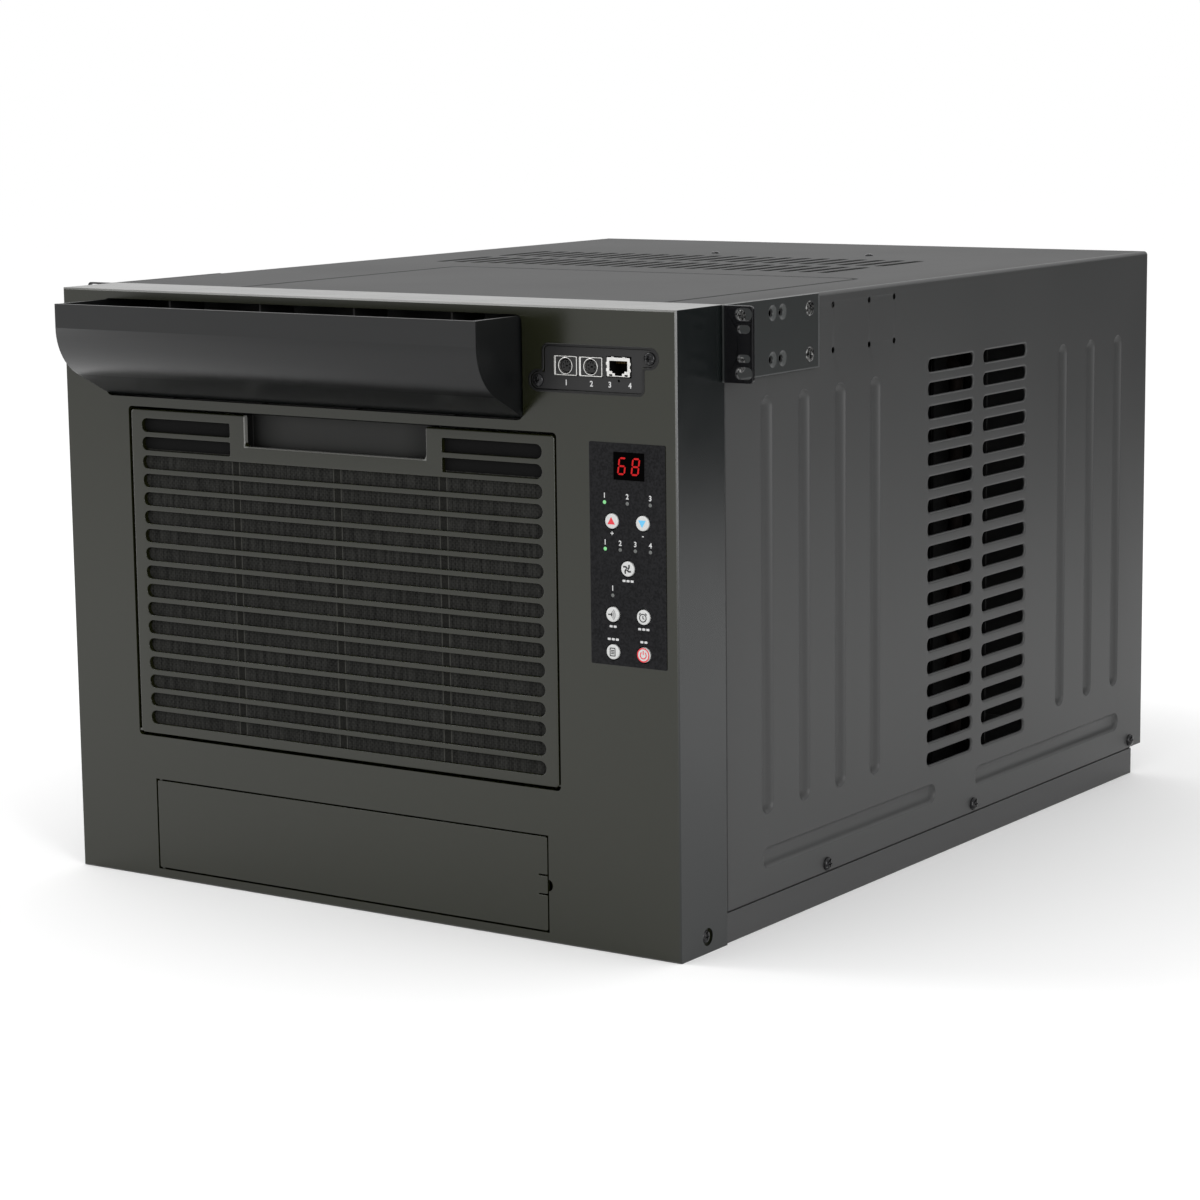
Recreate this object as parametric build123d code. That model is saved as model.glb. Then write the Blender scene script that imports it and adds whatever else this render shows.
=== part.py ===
from build123d import *
import os
from math import cos, pi, radians, sin, tan

# Rack-mounted air conditioner, eight rack units high, in millimetres.
# X runs to the right, Y to the back, Z up; the origin is on the floor under the middle of the unit.

# Whole unit
unit_width = 436.0
unit_height = 354.0
bezel_depth = 47.4
case_depth = 534.6
scoop_reach = 42.0

half_width = unit_width / 2
face_y = scoop_reach - (scoop_reach + bezel_depth + case_depth) / 2
bezel_back_y = face_y + bezel_depth
case_back_y = bezel_back_y + case_depth

# Moulded front bezel
bezel_wall = 3.0
bezel_edge_break = 1.0
mould_corner_steps = 3
well_wall = 2.5
seat_gap = 0.3
pin_clearance = 0.1

# Air outlet in the bezel, the duct behind it and its vanes
outlet_left_margin = 32.5
outlet_right_margin = 99.5
outlet_top_margin = 5.3
outlet_height = 57.7
outlet_corner = 4.0
duct_wall = 2.0
duct_depth = 40.0
vane_pitch = 68.5
vane_thickness = 2.4
vane_tip_thickness = 1.2
vane_depth = 30.0
vane_thick_at = 12.0

outlet_left = -half_width + outlet_left_margin
outlet_right = half_width - outlet_right_margin
outlet_top = unit_height - outlet_top_margin
outlet_bottom = outlet_top - outlet_height

# Curved scoop that turns the outlet air upwards
scoop_drop = 0.7
scoop_lip_height = 14.0
scoop_skin = 2.5
scoop_bend_radius = 32.0
scoop_bend_angle = 63.0
scoop_root = 2.6
scoop_end_inset = 0.8

scoop_top = outlet_top - scoop_drop
scoop_bend_z = scoop_top - scoop_lip_height

# Lower access cover, hung on its left edge
cover_left_margin = 61.5
cover_right_margin = 86.8
cover_bottom = 5.5
cover_height = 55.5
cover_gap = 1.0
cover_plate = 2.5
cover_rim = 1.6
cover_rim_depth = 8.0
cover_pin_radius = 1.2
cover_pin_length = 2.6
cover_pin_inset = 1.8
cover_pocket_depth = 16.0
tab_slit = 0.8
tab_length = 6.0
tab_height = 11.0
tab_rise = 27.1

cover_left = -half_width + cover_left_margin
cover_right = half_width - cover_right_margin
cover_top = cover_bottom + cover_height

# Tilt-out intake grille
grille_left_margin = 49.5
grille_right_margin = 77.7
grille_over_cover = 26.0
grille_under_outlet = 5.5
grille_gap = 1.5
grille_plate = 3.0
grille_corner = 2.5
grille_rim = 2.0
grille_rim_depth = 10.0
well_depth = 20.0
well_ledge = 6.0
ledge_thickness = 2.5
slot_pitch = 11.0
slot_height = 7.9
slot_end_margin = 9.9
slot_end_flat = 0.1
slot_end_steps = 3
slot_bottom_margin = 11.6
slot_top_margin = 10.7
grille_pin_radius = 0.8
grille_pin_length = 2.6
grille_pin_inset_y = 1.6
grille_pin_inset_z = 1.4

grille_left = -half_width + grille_left_margin
grille_right = half_width - grille_right_margin
grille_bottom = cover_top + grille_over_cover
grille_top = outlet_bottom - grille_under_outlet

# Finger cup in the top of the grille
cup_width = 131.0
cup_height = 19.7
cup_depth = 8.0
cup_floor_drop = 1.5
cup_bend = 1.5
cup_wall = 1.8
cup_corner = 3.0
cup_side_margin = 11.3

cup_left = (grille_left + grille_right - cup_width) / 2
cup_right = cup_left + cup_width
cup_bottom = grille_top - cup_height
cup_floor = cup_bottom - cup_floor_drop

# Air filter, held inside the rim of the grille
filter_depth = 5.0
filter_border = 3.5
filter_head = 4.0
filter_rib_width = 6.0
filter_rib_count = 3
mesh_thickness = 0.8
mesh_overlap = 2.0

filter_inset = grille_gap + grille_rim + seat_gap
filter_left = grille_left + filter_inset
filter_right = grille_right - filter_inset
filter_bottom = grille_bottom + filter_inset
filter_top = grille_top - filter_inset
cup_room = cup_wall + seat_gap
mesh_top = cup_floor - cup_room - filter_head

# Port plate with its sockets
port_right_margin = 21.5
port_top_margin = 21.5
port_width = 63.5
port_height = 23.5
port_corner = 2.5
port_ear_radius = 4.6
port_ear_reach = 4.4
port_ear_sides = 16
port_plate = 1.2
port_sink = 0.6
port_clearance = 0.3
port_window_margin = 3.5
port_proud = 0.8

port_right = half_width - port_right_margin
port_left = port_right - port_width
port_top = unit_height - port_top_margin
port_bottom = port_top - port_height

socket_offsets = (14.0, 30.4)
socket_rise = 13.2
socket_width = 14.9
socket_height = 10.4
socket_depth = 12.0
socket_radius = 4.4
socket_recess = 7.0
socket_sides = 16

jack_offset = 40.4
jack_rise = 8.2
jack_width = 15.7
jack_height = 11.0
jack_depth = 14.0
jack_mouth_width = 11.6
jack_mouth_height = 6.6
jack_latch_width = 4.6
jack_latch_height = 2.0
jack_recess = 11.0

# Control panel
overlay_right_margin = 7.3
overlay_top_margin = 71.8
overlay_width = 48.7
overlay_height = 121.0
overlay_film = 0.5
keypad_margin = 8.0
keypad_top_drop = 35.5
keypad_bottom_rise = 1.8
display_drop = 4.8
display_offset = 15.8
display_width = 19.7
display_height = 15.0
display_proud = 0.2
button_radius = 4.2
button_hole_gap = 0.5
button_proud = 1.6
button_stem = 6.0
button_edge = 0.5
button_sides = 16
button_columns = (14.4, 24.4, 34.2)
button_drops = (42.4, 67.7, 93.2, 113.7)
light_radius = 1.05
light_proud = 0.3
light_sides = 8
mode_light_drop = 32.4
mode_light_pitch = 14.7
speed_light_drop = 57.7
speed_light_pitch = 9.7
quiet_light_drop = 82.8

overlay_right = half_width - overlay_right_margin
overlay_left = overlay_right - overlay_width
overlay_top = unit_height - overlay_top_margin
overlay_bottom = overlay_top - overlay_height

# Folded sheet-metal case, with vents measured from the back of the case
sheet = 1.2
fold_radius = 2.5
case_hem_z = 19.0
rear_setback = 11.4
vent_length = 57.6
vent_gap = 13.0
vent_before_back = 176.2
vent_bottom = 62.3
vent_top_margin = 51.0
vent_pitch = 14.1
vent_height = 7.4
vent_corner = 2.9
corner_steps = 1
rib_depth = 1.8
rib_width = 13.0
rib_draft = 30.0
rib_end_radius = 5.5
rib_bottom = 65.5
rib_top_margin = 52.6
rib_pitch = 40.6
front_rib_inset = 91.0
rear_rib_before_back = 44.2
rear_rib_count = 3
low_rib_z = 40.6
low_rib_front_inset = 85.5
low_rib_split = 268.2
low_rib_gap = 51.2
low_rib_before_back = 36.2

vent_back_y = case_back_y - vent_before_back
vent_front_y = vent_back_y - 2 * vent_length - vent_gap

# Top slots and pressed bead
top_slot_before_back = 154.0
top_slot_pitch = 13.9
top_slot_width = 7.0
top_slot_left_margin = 53.0
top_slot_right_margin = 84.0
bead_left_margin = 99.0
bead_right_margin = 38.0
bead_before_back = 320.0
bead_corner = 8.0
bead_width = 4.0
bead_depth = 0.9
bead_lip = 0.8

# Rack ears
ear_sheet = 2.0
ear_front_inset = 44.0
ear_length = 101.5
ear_height = 41.6
ear_flange = 20.2
ear_bend_radius = 1.8
ear_corner = 2.0
rack_hole_out = 14.55
rack_hole_drop = 20.4
rack_hole_spacing = 31.75
rack_hole_radius = 3.4
rack_hole_length = 10.4
rack_slot_spacing = 15.875
rack_slot_radius = 2.2
rack_slot_length = 7.8

# Base tray and back
tray_sheet = 2.0
tray_gap = 0.3
tray_wall_height = 30.0
back_sheet = 2.0
back_slot_bottom = 75.0
back_slot_top_margin = 66.0
back_slot_columns = 3

# Condenser seen through the side vents
coil_before_back = 220.0
coil_thickness = 40.0
coil_top_margin = 24.0
coil_side_margin = 22.0
coil_plate = 1.5
coil_flange_gap = 3.3
bend_tube = 8.0
bend_rise = 21.0
bend_reach = 9.0
bend_corner = 4.0
bend_spacing = 42.3
shroud_depth = 26.0
shroud_side_margin = 26.0
shroud_ring_margin = 26.0
shroud_wall = 2.0
shroud_sides = 24

coil_back_y = case_back_y - coil_before_back
coil_front_y = coil_back_y - coil_thickness
coil_top = unit_height - coil_top_margin
coil_half_width = half_width - coil_side_margin


def block(x0, x1, y0, y1, z0, z1):
    centre = Pos((x0 + x1) / 2, (y0 + y1) / 2, (z0 + z1) / 2)
    return centre * Box(x1 - x0, y1 - y0, z1 - z0)


def facing_front(y):
    """A plane across the unit at y: sketch x is X, sketch y is Z."""
    return Plane(origin=(0, y, 0), x_dir=(1, 0, 0), z_dir=(0, -1, 0))


def facing_right(x):
    """A plane along the unit at x: sketch x is Y, sketch y is Z."""
    return Plane(origin=(x, 0, 0), x_dir=(0, 1, 0), z_dir=(1, 0, 0))


def backwards(sketch, start, depth):
    """Extrude a front-view sketch towards the back, from start behind the bezel's face."""
    return extrude(facing_front(face_y + start) * sketch, amount=-depth)


def plain(x0, x1, z0, z1):
    return Pos((x0 + x1) / 2, (z0 + z1) / 2) * Rectangle(x1 - x0, z1 - z0)


def punched(x0, x1, z0, z1, radius, steps):
    """A rectangle whose corners turn in a few straight steps, to keep a field of slots light."""
    points = []
    for turn, x, z in ((0, x1, z1), (1, x0, z1), (2, x0, z0), (3, x1, z0)):
        inward_x = x - radius if x == x1 else x + radius
        inward_z = z - radius if z == z1 else z + radius
        for step in range(steps + 1):
            angle = (turn + step / steps) * pi / 2
            points.append((inward_x + radius * cos(angle), inward_z + radius * sin(angle)))
    return make_face(Polyline(*points, close=True))


def round_ended(x0, x1, z):
    """A grille slot with rounded ends."""
    half = slot_height / 2
    return punched(x0, x1, z - half, z + half, half - slot_end_flat, slot_end_steps)


def many_sided(centres, radius, sides):
    """Small round outlines, drawn with a few sides each."""
    return Sketch() + [Pos(x, z) * RegularPolygon(radius, sides) for x, z in centres]


def copies_that_fit(room, pitch):
    return int(room / pitch) + 1


def button_centres():
    left, middle, right = [overlay_left + offset for offset in button_columns]
    first, second, third, fourth = [overlay_top - drop for drop in button_drops]
    return {
        "warmer_button": (left, first),
        "cooler_button": (right, first),
        "speed_button": (middle, second),
        "quiet_button": (left, third),
        "timer_button": (right, third),
        "function_button": (left, fourth),
        "power_button": (right, fourth),
    }


def light_centres():
    left, middle, right = [overlay_left + offset for offset in button_columns]
    mode = [(middle + mode_light_pitch * i, overlay_top - mode_light_drop) for i in (-1, 0, 1)]
    speed = [(middle + speed_light_pitch * i, overlay_top - speed_light_drop) for i in (-1.5, -0.5, 0.5, 1.5)]
    return mode + speed + [(left, overlay_top - quiet_light_drop)]


def port_ears():
    """Screw ears: one at the upper right corner of the port plate, one at the lower left."""
    upper = (port_right + port_ear_reach, port_top - port_ear_radius)
    lower = (port_left - port_ear_reach, port_bottom + port_ear_radius)
    return upper, lower


def port_outline(grow):
    body = punched(port_left - grow, port_right + grow, port_bottom - grow, port_top + grow,
                   port_corner + grow, mould_corner_steps)
    reach = port_ear_radius + grow
    for x, z in port_ears():
        edge = port_right - port_corner if x > port_right else port_left + port_corner
        body += many_sided([(x, z)], reach, port_ear_sides)
        body += plain(min(x, edge), max(x, edge), z - reach, z + reach)
    return body


def front_bezel():
    body = block(-half_width, half_width, face_y, bezel_back_y, 0, unit_height)
    body = chamfer(body.faces().sort_by(Axis.Y)[0].edges(), bezel_edge_break)
    body -= block(-half_width + bezel_wall, half_width - bezel_wall, face_y + bezel_wall, bezel_back_y,
                  bezel_wall, unit_height - bezel_wall)
    return cut_ports(cut_pocket(cut_well(body)))


def cut_well(body):
    """The intake well, with a ledge round its back and holes for the grille's pins."""
    ledge_back = well_depth + ledge_thickness
    around = plain(grille_left - well_wall, grille_right + well_wall,
                   grille_bottom - well_wall, grille_top + well_wall)
    body += backwards(around, bezel_wall, ledge_back - bezel_wall)
    body -= backwards(punched(grille_left, grille_right, grille_bottom, grille_top,
                              grille_corner, mould_corner_steps), 0, well_depth)
    ledge = well_ledge
    throat = plain(grille_left + ledge, grille_right - ledge, grille_bottom + ledge, grille_top - ledge)
    body -= backwards(throat, 0, ledge_back)
    return body - grille_pins(pin_clearance)


def cut_pocket(body):
    """The closed pocket behind the lower cover, with holes for the cover's pins."""
    around = plain(cover_left - well_wall, cover_right + well_wall,
                   cover_bottom - well_wall, cover_top + well_wall)
    body += backwards(around, bezel_wall, cover_pocket_depth + well_wall - bezel_wall)
    body -= backwards(plain(cover_left, cover_right, cover_bottom, cover_top), 0, cover_pocket_depth)
    return body - cover_pins(pin_clearance)


def cut_ports(body):
    """The air outlet, the sunk seat and window of the port plate, and the window behind the keypad."""
    body -= backwards(punched(outlet_left, outlet_right, outlet_bottom, outlet_top,
                              outlet_corner, mould_corner_steps), 0, bezel_wall)
    body -= backwards(port_outline(port_clearance), 0, port_sink + port_plate)
    margin = port_window_margin
    body -= backwards(plain(port_left + margin, port_right - margin, port_bottom + margin, port_top - margin),
                      0, bezel_wall)
    keypad = plain(overlay_left + keypad_margin, overlay_right - keypad_margin,
                   overlay_bottom + keypad_bottom_rise, overlay_top - keypad_top_drop)
    return body - backwards(keypad, 0, bezel_wall)


def outlet_duct():
    wall = duct_wall
    body = backwards(plain(outlet_left - wall, outlet_right + wall, outlet_bottom - wall, outlet_top + wall),
                     bezel_wall, duct_depth)
    inside = plain(outlet_left, outlet_right, outlet_bottom, outlet_top)
    return body - backwards(inside, bezel_wall, duct_depth - wall)


def outlet_vanes():
    middle = (outlet_left + outlet_right) / 2
    count = int((outlet_right - outlet_left) / vane_pitch)
    tip = vane_tip_thickness / 2
    root = vane_thickness / 2
    front = face_y + bezel_wall
    thick = front + vane_thick_at
    back = front + vane_depth
    vanes = Part()
    for i in range(count):
        x = middle + vane_pitch * (i - (count - 1) / 2)
        plan = make_face(Polyline((x - tip, front), (x + tip, front), (x + root, thick), (x + tip, back),
                                  (x - tip, back), (x - root, thick), close=True))
        vanes += extrude(Pos(0, 0, outlet_bottom) * plan, amount=outlet_height)
    return vanes


def scoop_edge(skin):
    """One face of the scoop's skin in side view, from its top round the bend to its root."""
    turn = radians(scoop_bend_angle)
    radius = scoop_bend_radius - skin
    middle_y = face_y - scoop_reach + scoop_bend_radius
    root_y = face_y + scoop_root
    start = (middle_y - radius, scoop_bend_z)
    half = (middle_y - radius * cos(turn / 2), scoop_bend_z - radius * sin(turn / 2))
    end = (middle_y - radius * cos(turn), scoop_bend_z - radius * sin(turn))
    root = (root_y, end[1] - (root_y - end[0]) / tan(turn))
    top = (start[0], scoop_top)
    edge = Line(top, start) + ThreePointArc(start, half, end) + Line(end, root)
    return edge, top, root


def air_scoop():
    left = outlet_left + seat_gap
    right = outlet_right - seat_gap
    outer, outer_top, outer_root = scoop_edge(0)
    inner, inner_top, inner_root = scoop_edge(scoop_skin)
    skin = make_face(outer + Line(outer_root, inner_root) + inner + Line(inner_top, outer_top))
    back_top = (outer_root[0], scoop_top)
    end = make_face(outer + Line(outer_root, back_top) + Line(back_top, outer_top))
    body = extrude(facing_right(left) * skin, amount=right - left)
    for x in (left + scoop_end_inset, right - scoop_end_inset - scoop_skin):
        body += extrude(facing_right(x) * end, amount=scoop_skin)
    mouth = punched(left, right, outlet_bottom + seat_gap, outlet_top - seat_gap,
                    outlet_corner, mould_corner_steps)
    around = plain(left - scoop_skin, right + scoop_skin,
                   outlet_bottom - outlet_height, outlet_top + scoop_reach)
    return body - backwards(around - mouth, 0, bezel_wall)


def grille_pins(grow=0.0):
    y = face_y + grille_pin_inset_y
    z = grille_bottom + grille_gap + grille_pin_inset_z
    length = grille_pin_length + grille_rim + grow
    left = grille_left + grille_gap + grille_rim
    right = grille_right - grille_gap - grille_rim
    pins = Part()
    for x, way in ((left, -1), (right, 1)):
        middle = Pos(x + way * length / 2, y, z) * Rot(0, 90, 0)
        pins += middle * Cylinder(grille_pin_radius + grow, length)
    return pins


def grille_slots():
    first_z = grille_bottom + slot_bottom_margin
    left = grille_left + slot_end_margin
    right = grille_right - slot_end_margin
    slots = Sketch()
    for row in range(copies_that_fit(grille_top - slot_top_margin - first_z, slot_pitch)):
        z = first_z + row * slot_pitch
        slot = round_ended(left, right, z)
        if z + slot_height / 2 > cup_bottom - cup_wall:
            slot -= plain(cup_left - cup_side_margin, cup_right + cup_side_margin,
                          z - slot_height, z + slot_height)
        slots += slot
    return slots


def intake_grille():
    left = grille_left + grille_gap
    right = grille_right - grille_gap
    bottom = grille_bottom + grille_gap
    top = grille_top - grille_gap
    rim = grille_rim
    body = backwards(punched(left, right, bottom, top, grille_corner, mould_corner_steps), 0, grille_rim_depth)
    body -= backwards(plain(left + rim, right - rim, bottom + rim, top - rim), grille_plate, grille_rim_depth)
    body -= backwards(grille_slots(), 0, grille_plate)
    notch = punched(cup_left, cup_right, cup_bottom, top + cup_height, cup_corner, mould_corner_steps)
    body -= backwards(notch, 0, grille_plate)
    rim_break = plain(cup_left - cup_room, cup_right + cup_room, cup_bottom, top)
    body -= backwards(rim_break, grille_plate, grille_rim_depth)
    return body + grille_pins()


def cup_side(wall):
    """The finger cup in side view: a straight-backed trough whose floor lies below its lip."""
    top = grille_top - grille_gap
    front = face_y + grille_plate
    back = face_y + cup_depth + wall
    low = cup_floor - wall
    return make_face(Polyline((front, top), (front, low), (back - cup_bend, low), (back, low + cup_bend),
                              (back, top), close=True))


def finger_cup():
    body = extrude(facing_right(cup_left - cup_wall) * cup_side(cup_wall), amount=cup_width + 2 * cup_wall)
    return body - extrude(facing_right(cup_left) * cup_side(0), amount=cup_width)


def filter_windows():
    """The openings of the filter between its ribs."""
    left = filter_left + filter_border
    right = filter_right - filter_border
    bay = (right - left - filter_rib_count * filter_rib_width) / (filter_rib_count + 1)
    windows = Sketch()
    for i in range(filter_rib_count + 1):
        x = left + i * (bay + filter_rib_width)
        windows += plain(x, x + bay, filter_bottom + filter_border, mesh_top)
    return windows


def filter_frame():
    """The frame lies against the back of the grille, steps round the cup and takes the mesh in its front."""
    outline = plain(filter_left, filter_right, filter_bottom, filter_top)
    outline -= plain(cup_left - cup_room, cup_right + cup_room, cup_floor - cup_room, grille_top)
    body = backwards(outline - filter_windows(), grille_plate, filter_depth)
    return body - filter_mesh()


def filter_mesh():
    edge = filter_border - mesh_overlap
    outline = plain(filter_left + edge, filter_right - edge, filter_bottom + edge, mesh_top + mesh_overlap)
    return backwards(outline, grille_plate, mesh_thickness)


def cover_pins(grow=0.0):
    x = cover_left + cover_gap + cover_pin_inset
    y = face_y + cover_pin_inset
    length = cover_pin_length + grow
    pins = Part()
    for z, way in ((cover_bottom + cover_gap, -1), (cover_top - cover_gap, 1)):
        pins += Pos(x, y, z + way * length / 2) * Cylinder(cover_pin_radius + grow, length)
    return pins


def lower_cover():
    left = cover_left + cover_gap
    right = cover_right - cover_gap
    bottom = cover_bottom + cover_gap
    top = cover_top - cover_gap
    rim = cover_rim
    body = backwards(plain(left, right, bottom, top), 0, cover_plate)
    ring = plain(left + cover_rim_depth, right, bottom, top)
    ring -= plain(left + cover_rim_depth, right - rim, bottom + rim, top - rim)
    body += backwards(ring, cover_plate, cover_rim_depth - cover_plate)
    for way in (-1, 1):
        z = cover_bottom + tab_rise + way * tab_height / 2
        slit = plain(right - tab_length, right, z - tab_slit / 2, z + tab_slit / 2)
        body -= backwards(slit, 0, cover_rim_depth)
    return body + cover_pins()


def socket_outline(offset, grow):
    x = port_left + offset
    z = port_bottom + socket_rise
    half = socket_width / 2 + grow
    rise = socket_height / 2 + grow
    return plain(x - half, x + half, z - rise, z + rise)


def jack_outline(grow):
    left = port_left + jack_offset
    bottom = port_bottom + jack_rise
    return plain(left - grow, left + jack_width + grow, bottom - grow, bottom + jack_height + grow)


def card_plate():
    cut_gap = port_clearance / 2
    windows = jack_outline(cut_gap)
    for offset in socket_offsets:
        windows += socket_outline(offset, cut_gap)
    return backwards(port_outline(0) - windows, port_sink, port_plate)


def round_sockets():
    front = port_sink - port_proud
    body = Part()
    for offset in socket_offsets:
        mouth = many_sided([(port_left + offset, port_bottom + socket_rise)], socket_radius, socket_sides)
        housing = backwards(socket_outline(offset, 0), front, socket_depth)
        body += housing - backwards(mouth, front, socket_recess)
    return body


def network_jack():
    front = port_sink - port_proud
    x = port_left + jack_offset + jack_width / 2
    z = port_bottom + jack_rise + jack_height / 2
    mouth = Pos(x, z) * Rectangle(jack_mouth_width, jack_mouth_height)
    latch_z = z - (jack_mouth_height + jack_latch_height) / 2
    mouth += Pos(x, latch_z) * Rectangle(jack_latch_width, jack_latch_height)
    return backwards(jack_outline(0), front, jack_depth) - backwards(mouth, front, jack_recess)


def display_outline():
    left = overlay_left + display_offset
    top = overlay_top - display_drop
    return plain(left, left + display_width, top - display_height, top)


def control_overlay():
    film = plain(overlay_left, overlay_right, overlay_bottom, overlay_top)
    film -= many_sided(button_centres().values(), button_radius + button_hole_gap, button_sides)
    return backwards(film - display_outline(), -overlay_film, overlay_film)


def display_window():
    thick = overlay_film + display_proud
    return backwards(display_outline(), -thick, thick)


def indicator_lights():
    lenses = many_sided(light_centres(), light_radius, light_sides)
    return backwards(lenses, -overlay_film - light_proud, light_proud)


def push_button(x, z):
    """A round cap with a broken edge on a plain stem, pushed along Y."""
    outline = many_sided([(x, z)], button_radius, button_sides)
    body = backwards(outline, -button_proud, button_proud + button_stem)
    return chamfer(body.faces().sort_by(Axis.Y)[0].edges(), button_edge)


def side_ribs():
    """Places of the pressed ribs on one side: y and z limits of each."""
    half = rib_width / 2
    first = face_y + front_rib_inset
    front_count = copies_that_fit(vent_front_y - rib_pitch - first, rib_pitch)
    last = case_back_y - rear_rib_before_back
    middles = [first + i * rib_pitch for i in range(front_count)]
    middles += [last - i * rib_pitch for i in range(rear_rib_count)]
    ribs = [(y - half, y + half, rib_bottom, unit_height - rib_top_margin) for y in middles]
    split = case_back_y - low_rib_split
    low = (low_rib_z - half, low_rib_z + half)
    ribs.append((face_y + low_rib_front_inset, split - low_rib_gap / 2, *low))
    ribs.append((split + low_rib_gap / 2, case_back_y - low_rib_before_back, *low))
    return ribs


def vent_slots():
    rows = copies_that_fit(unit_height - vent_top_margin - vent_bottom, vent_pitch)
    half = vent_height / 2
    slots = Sketch()
    for start in (vent_front_y, vent_front_y + vent_length + vent_gap):
        for row in range(rows):
            z = vent_bottom + row * vent_pitch
            slots += punched(start, start + vent_length, z - half, z + half, vent_corner, corner_steps)
    return slots


def case_side():
    """The right side sheet with its rolled top corner, pressed ribs and vents."""
    outer = half_width
    bend = unit_height - fold_radius
    skin = plain(outer - sheet, outer, case_hem_z, bend)
    corner = Pos(outer - fold_radius, bend) * (Circle(fold_radius) - Circle(fold_radius - sheet))
    skin += corner & plain(outer - fold_radius, outer, bend, unit_height)
    body = extrude(facing_front(bezel_back_y) * skin, amount=-case_depth)
    lip = sheet * tan(radians(rib_draft))
    for y0, y1, z0, z1 in side_ribs():
        back_of_rib = punched(y0, y1, z0, z1, rib_end_radius, corner_steps)
        body += extrude(facing_right(outer - sheet) * back_of_rib, amount=-rib_depth, taper=rib_draft)
    for y0, y1, z0, z1 in side_ribs():
        pressed = punched(y0 + lip, y1 - lip, z0 + lip, z1 - lip, rib_end_radius - lip, corner_steps)
        body -= extrude(facing_right(outer) * pressed, amount=-rib_depth, taper=rib_draft)
    return body - extrude(facing_right(outer) * vent_slots(), amount=-sheet)


def top_slots():
    left = -half_width + top_slot_left_margin
    room = unit_width - top_slot_left_margin - top_slot_right_margin
    half = top_slot_width / 2
    row_back = case_back_y - top_slot_before_back
    slots = Sketch()
    for back in (row_back, row_back - vent_length - vent_gap):
        for i in range(copies_that_fit(room, top_slot_pitch)):
            x = left + half + i * top_slot_pitch
            slots += plain(x - half, x + half, back - vent_length, back)
    return slots


def bead_ring(lip):
    """The pressed bead on the top: it leaves the bezel, runs back and returns, lip narrower each side."""
    left = -half_width + bead_left_margin
    right = half_width - bead_right_margin
    back = case_back_y - bead_before_back
    hidden = bezel_back_y - 2 * bead_corner

    def outline(inset):
        return punched(left + inset, right - inset, hidden, back - inset, bead_corner, corner_steps)

    return outline(lip) - outline(bead_width - lip) - plain(left, right, hidden, bezel_back_y)


def case_top():
    edge = half_width - fold_radius
    body = block(-edge, edge, bezel_back_y, case_back_y, unit_height - sheet, unit_height)
    body -= extrude(Pos(0, 0, unit_height) * top_slots(), amount=-sheet)
    body += extrude(Pos(0, 0, unit_height - sheet) * bead_ring(0), amount=-bead_depth)
    return body - extrude(Pos(0, 0, unit_height) * bead_ring(bead_lip), amount=-bead_depth)


def rack_ear():
    """The right ear: a plate on the case side, bent out to a flange with the rack holes."""
    front = face_y + ear_front_inset
    inner = half_width
    outer = half_width + ear_flange
    plan = plain(inner, inner + ear_sheet, front, front + ear_length)
    plan += plain(inner, outer, front, front + ear_sheet)
    body = extrude(Pos(0, 0, unit_height - ear_height) * plan, amount=ear_height)
    upright = body.edges().filter_by(Axis.Z)
    bend = upright.sort_by(Axis.Y)[:2].sort_by(Axis.X)[0]
    body = fillet(bend, ear_bend_radius)
    across = body.edges().filter_by(Axis.Y)
    body = fillet(across.filter_by_position(Axis.X, outer - ear_corner, outer + ear_corner), ear_corner)
    holes = Sketch()
    for spacing, length, radius in ((rack_hole_spacing, rack_hole_length, rack_hole_radius),
                                    (rack_slot_spacing, rack_slot_length, rack_slot_radius)):
        for way in (-1, 1):
            z = unit_height - rack_hole_drop + way * spacing / 2
            holes += Pos(inner + rack_hole_out, z) * SlotOverall(length, radius * 2)
    return body - extrude(facing_front(front) * holes, amount=-ear_sheet)


def base_tray():
    half = half_width - sheet - tray_gap
    back = case_back_y - rear_setback
    body = block(-half, half, bezel_back_y, back, 0, tray_wall_height)
    return body - block(-half + tray_sheet, half - tray_sheet, bezel_back_y + tray_sheet, back - tray_sheet,
                        tray_sheet, tray_wall_height)


def rear_panel():
    half = half_width - sheet - tray_gap
    back = case_back_y - rear_setback
    body = block(-half, half, back - back_sheet, back, tray_wall_height, unit_height - fold_radius)
    rows = copies_that_fit(unit_height - back_slot_top_margin - back_slot_bottom, vent_pitch)
    rise = vent_height / 2
    slots = Sketch()
    for column in range(back_slot_columns):
        x = (vent_length + vent_gap) * (column - (back_slot_columns - 1) / 2)
        for row in range(rows):
            z = back_slot_bottom + row * vent_pitch
            slots += plain(x - vent_length / 2, x + vent_length / 2, z - rise, z + rise)
    return body - extrude(facing_front(back - back_sheet) * slots, amount=-back_sheet)


def condenser_fins():
    return block(-coil_half_width, coil_half_width, coil_front_y, coil_back_y, tray_sheet, coil_top)


def coil_end_plates():
    """Sheet ends of the coil, each with a flange bent out towards the case side behind the tubes."""
    outer = coil_half_width + coil_plate
    flange = half_width - sheet - coil_flange_gap
    right = block(coil_half_width, outer, coil_front_y, coil_back_y, tray_sheet, coil_top)
    right += block(outer, flange, coil_back_y - coil_plate, coil_back_y, tray_sheet, coil_top)
    return right + mirror(right, about=Plane.YZ)


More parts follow.
